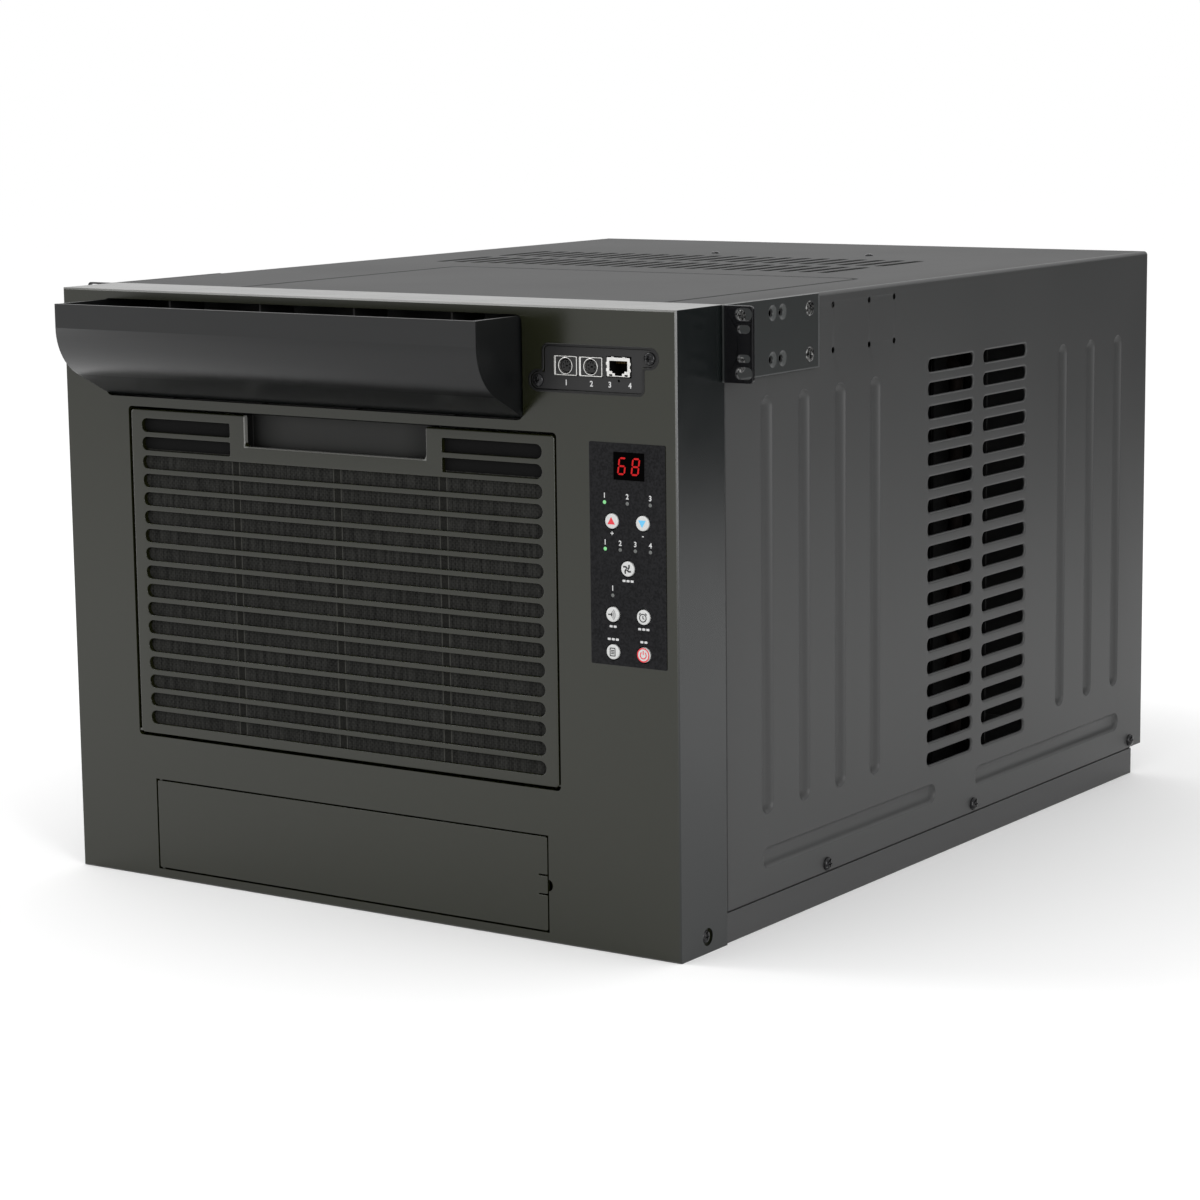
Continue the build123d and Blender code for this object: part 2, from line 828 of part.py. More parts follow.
def return_bends():
    """Tube bends that stand out of the coil's end plates, one above another."""
    start = coil_half_width + coil_plate
    end = start + bend_reach
    middle_y = (coil_front_y + coil_back_y) / 2
    first = tray_sheet + bend_spacing / 2
    half = bend_tube / 2
    corner = bend_corner
    bends = Part()
    for i in range(copies_that_fit(coil_top - first - bend_rise - bend_tube, bend_spacing)):
        low = first + i * bend_spacing - half
        high = low + bend_rise + bend_tube
        outside = make_face(Polyline((start, low), (end - corner, low), (end, low + corner),
                                     (end, high - corner), (end - corner, high), (start, high), close=True))
        gap = plain(start, end - bend_tube, low + bend_tube, high - bend_tube)
        bends += extrude(facing_front(middle_y - half) * (outside - gap), amount=-bend_tube)
    return bends + mirror(bends, about=Plane.YZ)


def fan_shroud():
    half = coil_half_width - shroud_side_margin
    wall = shroud_wall
    front = coil_front_y - shroud_depth
    middle_z = (tray_sheet + coil_top) / 2
    ring_radius = (coil_top - tray_sheet) / 2 - shroud_ring_margin
    body = block(-half, half, front, coil_front_y, tray_sheet, coil_top)
    body -= block(-half + wall, half - wall, front + wall, coil_front_y, tray_sheet + wall, coil_top - wall)
    ring = Pos(0, middle_z) * RegularPolygon(ring_radius, shroud_sides)
    return body - extrude(facing_front(front) * ring, amount=-wall)


right_side = case_side()
right_ear = rack_ear()

nodes = {
    "front_bezel": front_bezel(),
    "outlet_duct": outlet_duct(),
    "outlet_vanes": outlet_vanes(),
    "air_scoop": air_scoop(),
    "intake_grille": intake_grille(),
    "finger_cup": finger_cup(),
    "filter_frame": filter_frame(),
    "filter_mesh": filter_mesh(),
    "lower_cover": lower_cover(),
    "card_plate": card_plate(),
    "round_sockets": round_sockets(),
    "network_jack": network_jack(),
    "control_overlay": control_overlay(),
    "display_window": display_window(),
    "indicator_lights": indicator_lights(),
    "case_right_side": right_side,
    "case_left_side": mirror(right_side, about=Plane.YZ),
    "case_top": case_top(),
    "rack_ear_right": right_ear,
    "rack_ear_left": mirror(right_ear, about=Plane.YZ),
    "base_tray": base_tray(),
    "rear_panel": rear_panel(),
    "condenser_fins": condenser_fins(),
    "coil_end_plates": coil_end_plates(),
    "return_bends": return_bends(),
    "fan_shroud": fan_shroud(),
}
for name, (x, z) in button_centres().items():
    nodes[name] = push_button(x, z)

os.makedirs("parts", exist_ok=True)
for name, solid in nodes.items():
    export_step(solid, f"parts/{name}.step")
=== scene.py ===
from math import cos, pi, radians, sin

import bmesh
import bpy
from mathutils import Matrix, Vector


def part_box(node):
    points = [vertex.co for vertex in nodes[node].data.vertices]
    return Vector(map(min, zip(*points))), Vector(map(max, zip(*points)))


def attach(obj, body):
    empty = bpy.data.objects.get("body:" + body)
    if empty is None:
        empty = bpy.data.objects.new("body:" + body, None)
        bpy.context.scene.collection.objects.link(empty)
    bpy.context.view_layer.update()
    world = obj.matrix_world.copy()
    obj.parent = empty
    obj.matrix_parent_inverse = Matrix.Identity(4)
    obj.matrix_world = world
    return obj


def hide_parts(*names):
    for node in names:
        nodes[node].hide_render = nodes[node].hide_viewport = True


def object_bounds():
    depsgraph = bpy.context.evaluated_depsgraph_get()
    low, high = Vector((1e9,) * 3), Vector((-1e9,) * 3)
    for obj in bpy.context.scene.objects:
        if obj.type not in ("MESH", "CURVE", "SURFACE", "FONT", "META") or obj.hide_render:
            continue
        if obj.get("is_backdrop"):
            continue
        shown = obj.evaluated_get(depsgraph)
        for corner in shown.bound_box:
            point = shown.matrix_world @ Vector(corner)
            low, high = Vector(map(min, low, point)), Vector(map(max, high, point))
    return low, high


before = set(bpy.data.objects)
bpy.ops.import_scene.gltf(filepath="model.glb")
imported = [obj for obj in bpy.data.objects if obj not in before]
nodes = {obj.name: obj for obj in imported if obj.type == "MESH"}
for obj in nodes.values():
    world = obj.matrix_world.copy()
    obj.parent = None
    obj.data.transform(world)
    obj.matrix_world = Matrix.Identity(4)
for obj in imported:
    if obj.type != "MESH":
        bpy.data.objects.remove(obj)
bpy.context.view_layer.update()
mm = 0.001

# Studio: a wide white floor inside a white light tent, with a lamp overhead and a tall strip each side.
# A dark card stands far to the right, outside the view; only the gloss of the pieces shows it.
scene = bpy.context.scene
scene.view_settings.view_transform = "Standard"

tent_strength = 1.0
floor_half_width = 60.0
lamp_power, lamp_width, lamp_place = 9.0, 0.7, (-1.25, -0.65, 2.1)
right_power, right_width, right_place = 24.0, 0.6, (2.4, -1.6, 0.82)
left_power, left_width, left_place = 6.0, 0.35, (-2.3, -0.95, 0.82)
strip_height = 1.6
card_length = 4.0
card_height = 0.6
card_distance = 1.62


class Tone:
    """A socket in a finish's node tree. Arithmetic on it adds Math nodes."""

    def __init__(self, tree, socket=None):
        self.tree = tree
        self.socket = socket

    def node(self, kind, settings=(), inputs=(), output=0):
        """Any node: its settings first, then the values or links of its sockets."""
        made = self.tree.nodes.new(kind)
        for key, value in dict(settings).items():
            setattr(made, key, value)
        for key, value in dict(inputs).items():
            if isinstance(value, Tone):
                self.tree.links.new(value.socket, made.inputs[key])
            else:
                made.inputs[key].default_value = value
        return Tone(self.tree, made.outputs[output])

    def math(self, operation, first, second=0.0):
        return self.node("ShaderNodeMath", {"operation": operation}, {0: first, 1: second})

    def __add__(self, other):
        return self.math("ADD", self, other)

    def __sub__(self, other):
        return self.math("SUBTRACT", self, other)

    def __mul__(self, other):
        return self.math("MULTIPLY", self, other)

    def __rsub__(self, other):
        return self.math("SUBTRACT", other, self)

    __radd__ = __add__
    __rmul__ = __mul__

    def sine(self):
        return self.math("SINE", self)

    def step(self, low, high):
        """0 below low, 1 above high, smooth between."""
        limits = {"Value": self, "From Min": low, "From Max": high}
        return self.node("ShaderNodeMapRange", {"interpolation_type": "SMOOTHSTEP", "clamp": True}, limits)

    def between(self, first, second):
        """A colour that goes from first to second as this value goes from 0 to 1."""
        ends = {0: self, 6: first, 7: second}
        return self.node("ShaderNodeMix", {"data_type": "RGBA"}, ends, output=2)

    def noise(self, scale, detail=2.0, roughness=0.5):
        values = {"Vector": self, "Scale": scale, "Detail": detail, "Roughness": roughness}
        return self.node("ShaderNodeTexNoise", {}, values)

    def stretched(self, x, y, z):
        return self.node("ShaderNodeVectorMath", {"operation": "MULTIPLY"}, {0: self, 1: (x, y, z)})

    def part(self, axis):
        return self.node("ShaderNodeSeparateXYZ", {}, {"Vector": self}, output=axis)

    def bump(self, strength, depth):
        """A normal for this height; depth is in metres."""
        return self.node("ShaderNodeBump", {}, {"Strength": strength, "Distance": depth, "Height": self})


def new_finish(name):
    """A material, its shader and the place on the piece, in the unit's own frame."""
    material = bpy.data.materials.new(name)
    material.use_nodes = True
    tree = material.node_tree
    place = Tone(tree).node("ShaderNodeTexCoord", output="Object")
    return material, tree.nodes["Principled BSDF"], place


def settle(shader, **sockets):
    """Set or link the shader's sockets; an underscore in a name stands for a space."""
    for key, value in sockets.items():
        socket = shader.inputs[key.replace("_", " ")]
        if isinstance(value, Tone):
            value.tree.links.new(value.socket, socket)
        else:
            socket.default_value = value


def rgb(red, green, blue):
    return (red, green, blue, 1.0)


def grey(level):
    return (level, level, level, 1.0)


def add_object(name, data):
    made = bpy.data.objects.new(name, data)
    scene.collection.objects.link(made)
    return made


def flat_board(name, corners):
    mesh = bpy.data.meshes.new(name)
    mesh.from_pydata(corners, [], [range(len(corners))])
    board = add_object(name, mesh)
    board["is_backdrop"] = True
    return board


world = bpy.data.worlds.new("light_tent")
scene.world = world
world.use_nodes = True
world.node_tree.nodes["Background"].inputs["Color"].default_value = grey(1.0)
world.node_tree.nodes["Background"].inputs["Strength"].default_value = tent_strength

half = floor_half_width
floor = flat_board("floor", [(-half, -half, 0), (half, -half, 0), (half, half, 0), (-half, half, 0)])
paper, shader, place = new_finish("white_paper")
seen = place.node("ShaderNodeLightPath", output="Is Camera Ray")
mirrored = place.node("ShaderNodeLightPath", output="Is Glossy Ray")
through = place.node("ShaderNodeLightPath", output="Is Transmission Ray")
mottle = place.noise(3.0, detail=3.0).between(grey(0.54), grey(0.56))
shown = seen + mirrored + through
white_when_shown = shown.math("MINIMUM", shown, 1.0).between(mottle, grey(1.0))
settle(shader, Base_Color=white_when_shown, Roughness=0.9, Specular_IOR_Level=0.0)
floor.data.materials.append(paper)

black_card, shader, place = new_finish("black_card")
weave = place.noise(400.0)
settle(shader, Base_Color=weave.between(grey(0.01), grey(0.02)), Roughness=0.95, Specular_IOR_Level=0.0)
azimuth = radians(34.179)
outward = Vector((sin(azimuth), cos(azimuth), 0.0))
along = Vector((cos(azimuth), -sin(azimuth), 0.0)) * card_length / 2
middle = Vector((0.218, 0.0, 0.0)) + outward * card_distance
top = Vector((0.0, 0.0, card_height))
card = flat_board("dark_card", [middle - along, middle + along, middle + along + top, middle - along + top])
card.data.materials.append(black_card)
card.visible_camera = False
card.visible_diffuse = False
card.visible_transmission = False
card.visible_shadow = False


def hang_lamp(name, power, width, height, place):
    """A flat lamp turned towards the unit."""
    lamp = bpy.data.lights.new(name, "AREA")
    lamp.shape = "RECTANGLE"
    lamp.size = width
    lamp.size_y = height
    lamp.energy = power
    hung = add_object(name, lamp)
    hung.location = place
    hung.rotation_euler = (Vector((0.0, 0.0, 0.2)) - hung.location).to_track_quat("-Z", "Y").to_euler()
    hung.visible_camera = False


hang_lamp("overhead_lamp", lamp_power, lamp_width, lamp_width, lamp_place)
hang_lamp("right_strip", right_power, right_width, strip_height, right_place)
hang_lamp("left_strip", left_power, left_width, strip_height, left_place)

# Camera: placed by the vanishing lines of the case, a little to the right and above.
camera = bpy.data.cameras.new("camera")
camera.lens = 99.2
camera.sensor_width = 36.0
camera_object = add_object("camera", camera)
elevation = radians(9.247)
roll = radians(-0.684)
back = Vector((sin(azimuth) * cos(elevation), -cos(azimuth) * cos(elevation), sin(elevation)))
right = Vector((cos(azimuth), sin(azimuth), 0.0))
up = back.cross(right)
across = right * cos(roll) + up * sin(roll)
upright = up * cos(roll) - right * sin(roll)
camera_matrix = Matrix((across, upright, back)).transposed().to_4x4()
camera_matrix.translation = (1.158985, -1.729795, 0.483368)
camera_object.matrix_world = camera_matrix
scene.camera = camera_object

# Base tray: a shallow folded steel pan that carries the compressor and the coil.
# It is powder coated dark grey like the case, and the case sides lap over it.
def soften(name, width, angle=28.0, segments=2):
    """Round a solid's sharp edges a little, as paint or a mould leaves them."""
    weld = nodes[name].modifiers.new("weld", "WELD")
    weld.merge_threshold = 0.002 * mm
    bevel = nodes[name].modifiers.new("soft_edges", "BEVEL")
    bevel.width = width
    bevel.segments = segments
    bevel.limit_method = "ANGLE"
    bevel.angle_limit = radians(angle)
    bevel.use_clamp_overlap = True


def dress(name, material, edge=0.0):
    mesh = nodes[name].data
    mesh.materials.clear()
    mesh.materials.append(material)
    if edge:
        soften(name, edge)


def powder_coat(name, dark, light, roughness, peel_depth, gloss):
    """Baked powder paint: a faint orange peel over dark pigment."""
    material, shader, place = new_finish(name)
    cloud = place.noise(9.0, detail=4.0)
    speck = place.noise(2600.0, detail=1.0).step(0.62, 0.75)
    peel = place.noise(620.0, detail=2.0)
    blend = cloud * 0.75 + speck * 0.25
    pigment = blend.between(rgb(*dark), rgb(*light))
    settle(shader, Base_Color=pigment, Roughness=roughness + (cloud - 0.5) * 0.10,
           Normal=(peel + speck * 0.35).bump(0.2, peel_depth), Specular_IOR_Level=gloss)
    return material


tray_paint = powder_coat("tray_paint", (0.034, 0.034, 0.0345), (0.045, 0.045, 0.0455), 0.44, 0.05 * mm, 0.4)
dress("base_tray", tray_paint, 0.4 * mm)

# Condenser: a block of thin aluminium fins between two galvanised end plates.
# The fins are stacked a couple of millimetres apart and the tubes are expanded into them.
fin_pitch = 2.4 * mm
fin_thickness = 0.25 * mm
fin_wave = 0.5 * mm
fin_folds = 8


def mesh_piece(name, parts, material, body, place=None):
    """One piece from a filled bmesh: it rides on a body and takes a slot's finish."""
    if place:
        bmesh.ops.transform(parts, matrix=place, verts=parts.verts)
    bmesh.ops.recalc_face_normals(parts, faces=parts.faces)
    mesh = bpy.data.meshes.new(name)
    parts.to_mesh(mesh)
    parts.free()
    mesh.materials.append(material)
    piece = add_object(name, mesh)
    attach(piece, body)
    return piece


def smooth_piece(piece, angle=38.0):
    """Shade a piece smoothly, with its flats kept flat."""
    piece.data.shade_smooth()
    piece.data.set_sharp_from_angle(angle=radians(angle))
    flats = piece.modifiers.new("flats", "WEIGHTED_NORMAL")
    flats.keep_sharp = True


low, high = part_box("condenser_fins")
fins = bmesh.new()
count = int((high.x - low.x) / fin_pitch)
for i in range(count + 1):
    x = low.x + fin_thickness + (high.x - low.x - 2 * fin_thickness) * i / count
    rows = []
    for fold in range(fin_folds + 1):
        y = low.y + (high.y - low.y) * fold / fin_folds
        shift = fin_wave * (1 if fold % 2 else -1) * (0 if i in (0, count) else 1)
        rows.append([fins.verts.new((x + shift + side * fin_thickness / 2, y, z))
                     for side, z in ((-1, low.z), (-1, high.z), (1, high.z), (1, low.z))])
    for near, far in zip(rows, rows[1:]):
        for corner in range(4):
            fins.faces.new((near[corner], near[corner - 1], far[corner - 1], far[corner]))
    fins.faces.new(rows[0])
    fins.faces.new(reversed(rows[-1]))

fin_stock, shader, place = new_finish("fin_stock")
dull = place.noise(40.0, detail=5.0)
lines = (place.part("Z") * (2 * pi / (1.6 * mm))).sine()
settle(shader, Base_Color=dull.between(grey(0.10), rgb(0.16, 0.16, 0.158)),
       Metallic=1.0, Roughness=0.34 + dull * 0.2, Normal=lines.bump(0.2, 0.05 * mm))
fin_pack = mesh_piece("condenser_fin_pack", fins, fin_stock, "unit")
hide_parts("condenser_fins")

# Painted shade: the galvanised end plates are coloured almost black, with a faint spangle pattern.
shade_darkened_sheet, shader, place = new_finish("shade_darkened_sheet")
spangle = place.node("ShaderNodeTexVoronoi", {"feature": "F1"}, {"Vector": place, "Scale": 170.0}, output="Color")
flake = spangle.part("X")
settle(shader, Base_Color=flake.between(grey(0.003), grey(0.006)),
       Roughness=0.55 + flake * 0.2, Normal=flake.bump(0.1, 0.05 * mm), Specular_IOR_Level=0.05)
dress("coil_end_plates", shade_darkened_sheet, 0.2 * mm)

# Return bends: hairpins of drawn copper tube brazed to the coil's ends, one above another.
# They are left bare, and their copper is coloured almost black, unevenly, as painted shade.
bend_radius = 4.0 * mm
bend_rise = 21.0 * mm
bend_spacing = 42.3 * mm

# Painted shade: the copper is coloured almost black, unevenly.
copper, shader, place = new_finish("shade_darkened_copper")
uneven_shade = place.noise(60.0, detail=5.0).step(0.3, 0.7)
settle(shader, Base_Color=uneven_shade.between(rgb(0.0060, 0.0040, 0.0032), rgb(0.003, 0.0022, 0.0018)),
       Metallic=0.1, Roughness=0.6 + uneven_shade * 0.2, Specular_IOR_Level=0.06)
plates_low, plates_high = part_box("condenser_fins")
bends_low, bends_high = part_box("return_bends")
hairpins = bpy.data.curves.new("hairpins", "CURVE")
hairpins.dimensions = "3D"
hairpins.bevel_depth = bend_radius
hairpins.bevel_resolution = 4
hairpins.use_fill_caps = True
middle_y = (bends_low.y + bends_high.y) / 2
z = bends_low.z + bend_radius
while z + bend_rise < bends_high.z:
    for start, end in ((plates_high.x, bends_high.x), (plates_low.x, bends_low.x)):
        out = (end - start) - (bend_radius if end > start else -bend_radius)
        spline = hairpins.splines.new("POLY")
        spline.points.add(12)
        for step, point in enumerate(spline.points):
            turn = pi * step / 12
            point.co = (start + out * sin(turn) ** 0.6, middle_y, z + bend_rise / 2 * (1 - cos(turn)), 1.0)
    z += bend_spacing
hairpin_line = add_object("hairpin_line", hairpins)
parts = bmesh.new()
parts.from_mesh(bpy.data.meshes.new_from_object(hairpin_line))
bpy.data.objects.remove(hairpin_line)
hairpin_piece = mesh_piece("copper_hairpins", parts, copper, "unit")
smooth_piece(hairpin_piece, 60.0)
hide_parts("return_bends")

# Fan shroud: a black moulded box with a round mouth that feeds air to the coil.
# It is screwed to the coil's face inside the case.
def moulded_black(name, dark, light, roughness, grain, gloss=0.5):
    """Black plastic with the fine spark texture of its mould; dark and light are levels of grey."""
    material, shader, place = new_finish(name)
    cloud = place.noise(14.0, detail=3.0)
    spark = place.noise(grain, detail=2.0)
    settle(shader, Base_Color=cloud.between(grey(dark), grey(light)),
           Roughness=roughness + (spark - 0.5) * 0.12, Normal=spark.bump(0.18, 0.04 * mm),
           Specular_IOR_Level=gloss)
    return material


shroud_plastic = moulded_black("shroud_plastic", 0.006, 0.011, 0.55, 900.0, 0.2)
dress("fan_shroud", shroud_plastic, 0.4 * mm)

# Case sides: steel sheets with ribs pressed inwards and two columns of vents whose rims are rolled in.
# The top edge is folded over and the front edge is joggled in behind the bezel.
# Both sheets are powder coated and screwed to the tray.
case_paint = powder_coat("case_paint", (0.034, 0.0345, 0.0345), (0.045, 0.0455, 0.0455),
                         0.42, 0.05 * mm, 0.4)
face_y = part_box("front_bezel")[0].y
half_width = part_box("front_bezel")[1].x
unit_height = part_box("front_bezel")[1].z
side_low, side_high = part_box("case_right_side")
fold_radius = 2.5 * mm
case_sheet = 0.9 * mm
vent_columns = ((277.6, 335.2), (348.2, 405.8))
vent_rows = 18
vent_first = 62.3 * mm
vent_pitch = 14.1 * mm
vent_half_height = 3.7 * mm
vent_corner = 3.2 * mm
vent_lip = ((1.5, 0.0), (1.05, 0.06), (0.65, 0.22), (0.32, 0.5), (0.1, 0.95), (0.0, 1.6))
rib_half_width = 6.2 * mm
rib_section = ((0.0, 0.0), (0.15, 0.06), (0.5, 0.45), (1.0, 0.98), (1.7, 1.45), (2.6, 1.85),
               (3.6, 2.12), (4.6, 2.27), (5.4, 2.3))
joint_gap = 1.2 * mm
joggle_depth = 2.0 * mm
rib_middles = (91.0, 131.6, 172.2, 212.8, 456.6, 497.2, 537.8)
rib_bottom = 65.5 * mm
rib_top = 301.4 * mm
low_ribs = ((85.5, 288.2), (339.4, 545.8))
low_rib_z = 40.6 * mm
spare_hole_radius = 1.9 * mm
spare_hole_columns = (164.3, 205.8, 235.2)
ear_rows = (346.2, 320.5)
ear_spare_columns = (94.7, 105.3)
ear_hole_radius = 2.1 * mm


def looking(origin, u, v):
    """A place on a surface: u and v lie in it and the third axis points out of it."""
    matrix = Matrix((u, v, Vector(u).cross(Vector(v)))).transposed().to_4x4()
    matrix.translation = origin
    return matrix


def on_front(x, z, out=0.0):
    return looking((x, face_y - out, z), (1, 0, 0), (0, 0, 1))


def on_side(way, depth, z, out=0.0):
    """A place on the right side (way 1) or the left (way -1), depth behind the bezel's face."""
    return looking((way * (half_width + out), face_y + depth, z), (0, way, 0), (0, 0, 1))


def rounded_path(corners, steps=6):
    """A closed outline of square turns, each with its own radius."""
    points = []
    for i, (x, y, radius) in enumerate(corners):
        here = Vector((x, y))
        into = (here - Vector(corners[i - 1][:2])).normalized()
        away = (Vector(corners[(i + 1) % len(corners)][:2]) - here).normalized()
        if not radius:
            points.append(here)
            continue
        middle = here + (away - into) * radius
        for step in range(steps + 1):
            turn = pi / 2 * step / steps
            points.append(middle - away * radius * cos(turn) + into * radius * sin(turn))
    return points


def rounded_box(x0, x1, y0, y1, radius, steps=6):
    return rounded_path([(x0, y0, radius), (x1, y0, radius), (x1, y1, radius), (x0, y1, radius)], steps)


def circle(x, y, radius, steps=24):
    turns = [2 * pi * i / steps for i in range(steps)]
    return [Vector((x + radius * cos(turn), y + radius * sin(turn))) for turn in turns]


def grow(outline, distance):
    """The outline moved outwards everywhere by a distance, or inwards if it is negative."""
    moved = []
    for i, here in enumerate(outline):
        into = (here - outline[i - 1]).normalized()
        away = (outline[(i + 1) % len(outline)] - here).normalized()
        normal = Vector((into.y + away.y, -into.x - away.x))
        moved.append(here + normal * (distance / (1 + into.dot(away))))
    return moved


def lay(parts, outline, height):
    return [parts.verts.new((point.x, point.y, height)) for point in outline]


def band(parts, loops):
    """Walls between loops that follow one another."""
    for near, far in zip(loops, loops[1:]):
        for i in range(len(near)):
            parts.faces.new((near[i - 1], near[i], far[i], far[i - 1]))


def close_flat(parts, loops):
    """Fill the flat area inside an outer loop and outside any others."""
    edges = []
    for loop in loops:
        for i in range(len(loop)):
            edge = parts.edges.get((loop[i - 1], loop[i])) or parts.edges.new((loop[i - 1], loop[i]))
            edges.append(edge)
    bmesh.ops.triangle_fill(parts, use_beauty=True, use_dissolve=False, edges=edges)


def pressed_sheet(outline, vents, ribs, holes, section, lip=vent_lip):
    """A thin sheet with rolled vents, pressed ribs and plain holes, and the verts of its edge."""
    parts = bmesh.new()
    edge = lay(parts, outline, 0.0)
    open_loops = [edge]
    for vent in vents:
        loops = [lay(parts, grow(vent, reach * mm), -drop * mm) for reach, drop in lip]
        band(parts, loops)
        open_loops.append(loops[0])
    for rib in ribs:
        loops = [lay(parts, grow(rib, -inset * mm), -drop * mm) for inset, drop in section]
        band(parts, loops)
        close_flat(parts, [loops[-1]])
        open_loops.append(loops[0])
    for hole in holes:
        open_loops.append(lay(parts, hole, 0.0))
    close_flat(parts, open_loops)
    return parts, edge


def thicken(piece, thickness, outward):
    """Give a thin sheet its thickness on the inside."""
    mesh = piece.data
    facing = sum((face.normal.dot(outward) * face.area for face in mesh.polygons))
    if facing < 0:
        mesh.flip_normals()
    solid = piece.modifiers.new("thickness", "SOLIDIFY")
    solid.thickness = thickness
    solid.offset = -1.0


depth_start = side_low.y - face_y
depth_end = side_high.y - face_y
bend_z = unit_height - fold_radius
vents = []
for start, end in vent_columns:
    for row in range(vent_rows):
        z = vent_first + row * vent_pitch
        vents.append(rounded_box(start * mm, end * mm, z - vent_half_height, z + vent_half_height, vent_corner))
ribs = []
for middle in rib_middles:
    ribs.append(rounded_box(middle * mm - rib_half_width, middle * mm + rib_half_width, rib_bottom, rib_top,
                            rib_half_width * 0.999, 8))
for start, end in low_ribs:
    ribs.append(rounded_box(start * mm, end * mm, low_rib_z - rib_half_width, low_rib_z + rib_half_width,
                            rib_half_width * 0.999, 8))
holes = [circle(y * mm, z * mm, spare_hole_radius) for y in spare_hole_columns for z in ear_rows]
holes += [circle(y * mm, z * mm, ear_hole_radius) for y in ear_spare_columns for z in ear_rows]
for way, name in ((1, "case_right_side"), (-1, "case_left_side")):
    outline = [Vector(point) for point in ((depth_start + joint_gap, side_low.z), (depth_end, side_low.z),
                                           (depth_end, bend_z), (depth_start + joint_gap, bend_z))]
    parts, edge = pressed_sheet(outline, vents, ribs, holes, rib_section)
    fold = edge[2:4]
    for step in range(1, 7):
        turn = pi / 2 * step / 6
        rise = fold_radius * sin(turn)
        drop = fold_radius * (1 - cos(turn))
        following = [parts.verts.new((corner.co.x, bend_z + rise, -drop)) for corner in edge[2:4]]
        parts.faces.new((fold[0], fold[1], following[1], following[0]))
        fold = following
    front_edge = [edge[0], edge[3]]
    for depth in (depth_start + joint_gap, depth_start):
        following = [parts.verts.new((depth, corner.co.y, -joggle_depth)) for corner in front_edge]
        parts.faces.new((front_edge[0], front_edge[1], following[1], following[0]))
        front_edge = following
    place = on_side(1, 0.0, 0.0)
    if way < 0:
        place = Matrix.Scale(-1, 4, (1, 0, 0)) @ place
    sheet_piece = mesh_piece(name + "_sheet", parts, case_paint, "unit", place)
    thicken(sheet_piece, case_sheet, Vector((way, 0, 0)))
    smooth_piece(sheet_piece)
    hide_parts(name)

# Case top: one sheet between the folded sides, with two rows of slots and a shallow pressed bead.
# Its powder coat is a little rougher, and small screws near the back hold it.
top_slot_rows = ((370.4, 428.0), (299.8, 357.4))
top_slot_first = -165.0
top_slot_last = 134.0
top_slot_pitch = 13.9
top_slot_width = 7.0
bead_left = -119.0 * mm
bead_right = 180.0 * mm
bead_back = 262.0 * mm
bead_width = 4.0 * mm
bead_section = ((0.0, 0.0), (0.2, 0.1), (0.5, 0.6), (0.85, 1.2), (1.2, 1.5), (1.6, 1.6))
top_slot_lip = ((0.5, 0.0), (0.3, 0.05), (0.1, 0.25), (0.0, 0.9))
top_low, top_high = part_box("case_top")
outline = [Vector(point) for point in ((top_low.x, depth_start), (top_high.x, depth_start),
                                       (top_high.x, depth_end), (top_low.x, depth_end))]
slots = []
slot_count = int((top_slot_last - top_slot_first) / top_slot_pitch) + 1
for start, end in top_slot_rows:
    for i in range(slot_count):
        x = (top_slot_first + i * top_slot_pitch) * mm
        slots.append(rounded_box(x, x + top_slot_width * mm, start * mm, end * mm, top_slot_width * mm * 0.4995))
half = bead_width / 2
bead_start = depth_start + 0.8 * mm
bead_end = half * 0.95
bead = rounded_path([(bead_left - half, bead_start, bead_end), (bead_left + half, bead_start, bead_end),
                     (bead_left + half, bead_back - half, 6 * mm), (bead_right - half, bead_back - half, 6 * mm),
                     (bead_right - half, bead_start, bead_end), (bead_right + half, bead_start, bead_end),
                     (bead_right + half, bead_back + half, 10 * mm), (bead_left - half, bead_back + half, 10 * mm)], 8)
parts, edge = pressed_sheet(outline, slots, [bead], [], bead_section, top_slot_lip)
on_top = looking((0, face_y, unit_height), (1, 0, 0), (0, 1, 0))
top_paint = powder_coat("top_paint", (0.030, 0.0305, 0.0305), (0.041, 0.0415, 0.0415), 0.58, 0.06 * mm, 0.3)
top_piece = mesh_piece("case_top_sheet", parts, top_paint, "unit", on_top)
thicken(top_piece, case_sheet, Vector((0, 0, 1)))
smooth_piece(top_piece)
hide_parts("case_top")

# Rear panel: a flat steel sheet set into the back of the case, with three columns of exhaust slots.
# It is powder coated like the case and screwed along its top and bottom edges.
rear_low, rear_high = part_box("rear_panel")
rear_columns = (-70.6, 0.0, 70.6)
rear_slot_half = 28.8
rear_rows = 16
rear_first = 75.0
slots = []
for x in rear_columns:
    for row in range(rear_rows):
        z = rear_first * mm + row * vent_pitch
        slots.append(rounded_box((x - rear_slot_half) * mm, (x + rear_slot_half) * mm, z - vent_half_height,
                                 z + vent_half_height, vent_corner))
outline = [Vector(point) for point in ((rear_low.x, rear_low.z), (rear_high.x, rear_low.z),
                                       (rear_high.x, rear_high.z), (rear_low.x, rear_high.z))]
parts, edge = pressed_sheet(outline, slots, [], [], rib_section)
rear_piece = mesh_piece("rear_sheet", parts, case_paint, "unit",
                        looking((0, rear_high.y, 0), (-1, 0, 0), (0, 0, 1)))
thicken(rear_piece, 1.2 * mm, Vector((0, 1, 0)))
smooth_piece(rear_piece)
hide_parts("rear_panel")

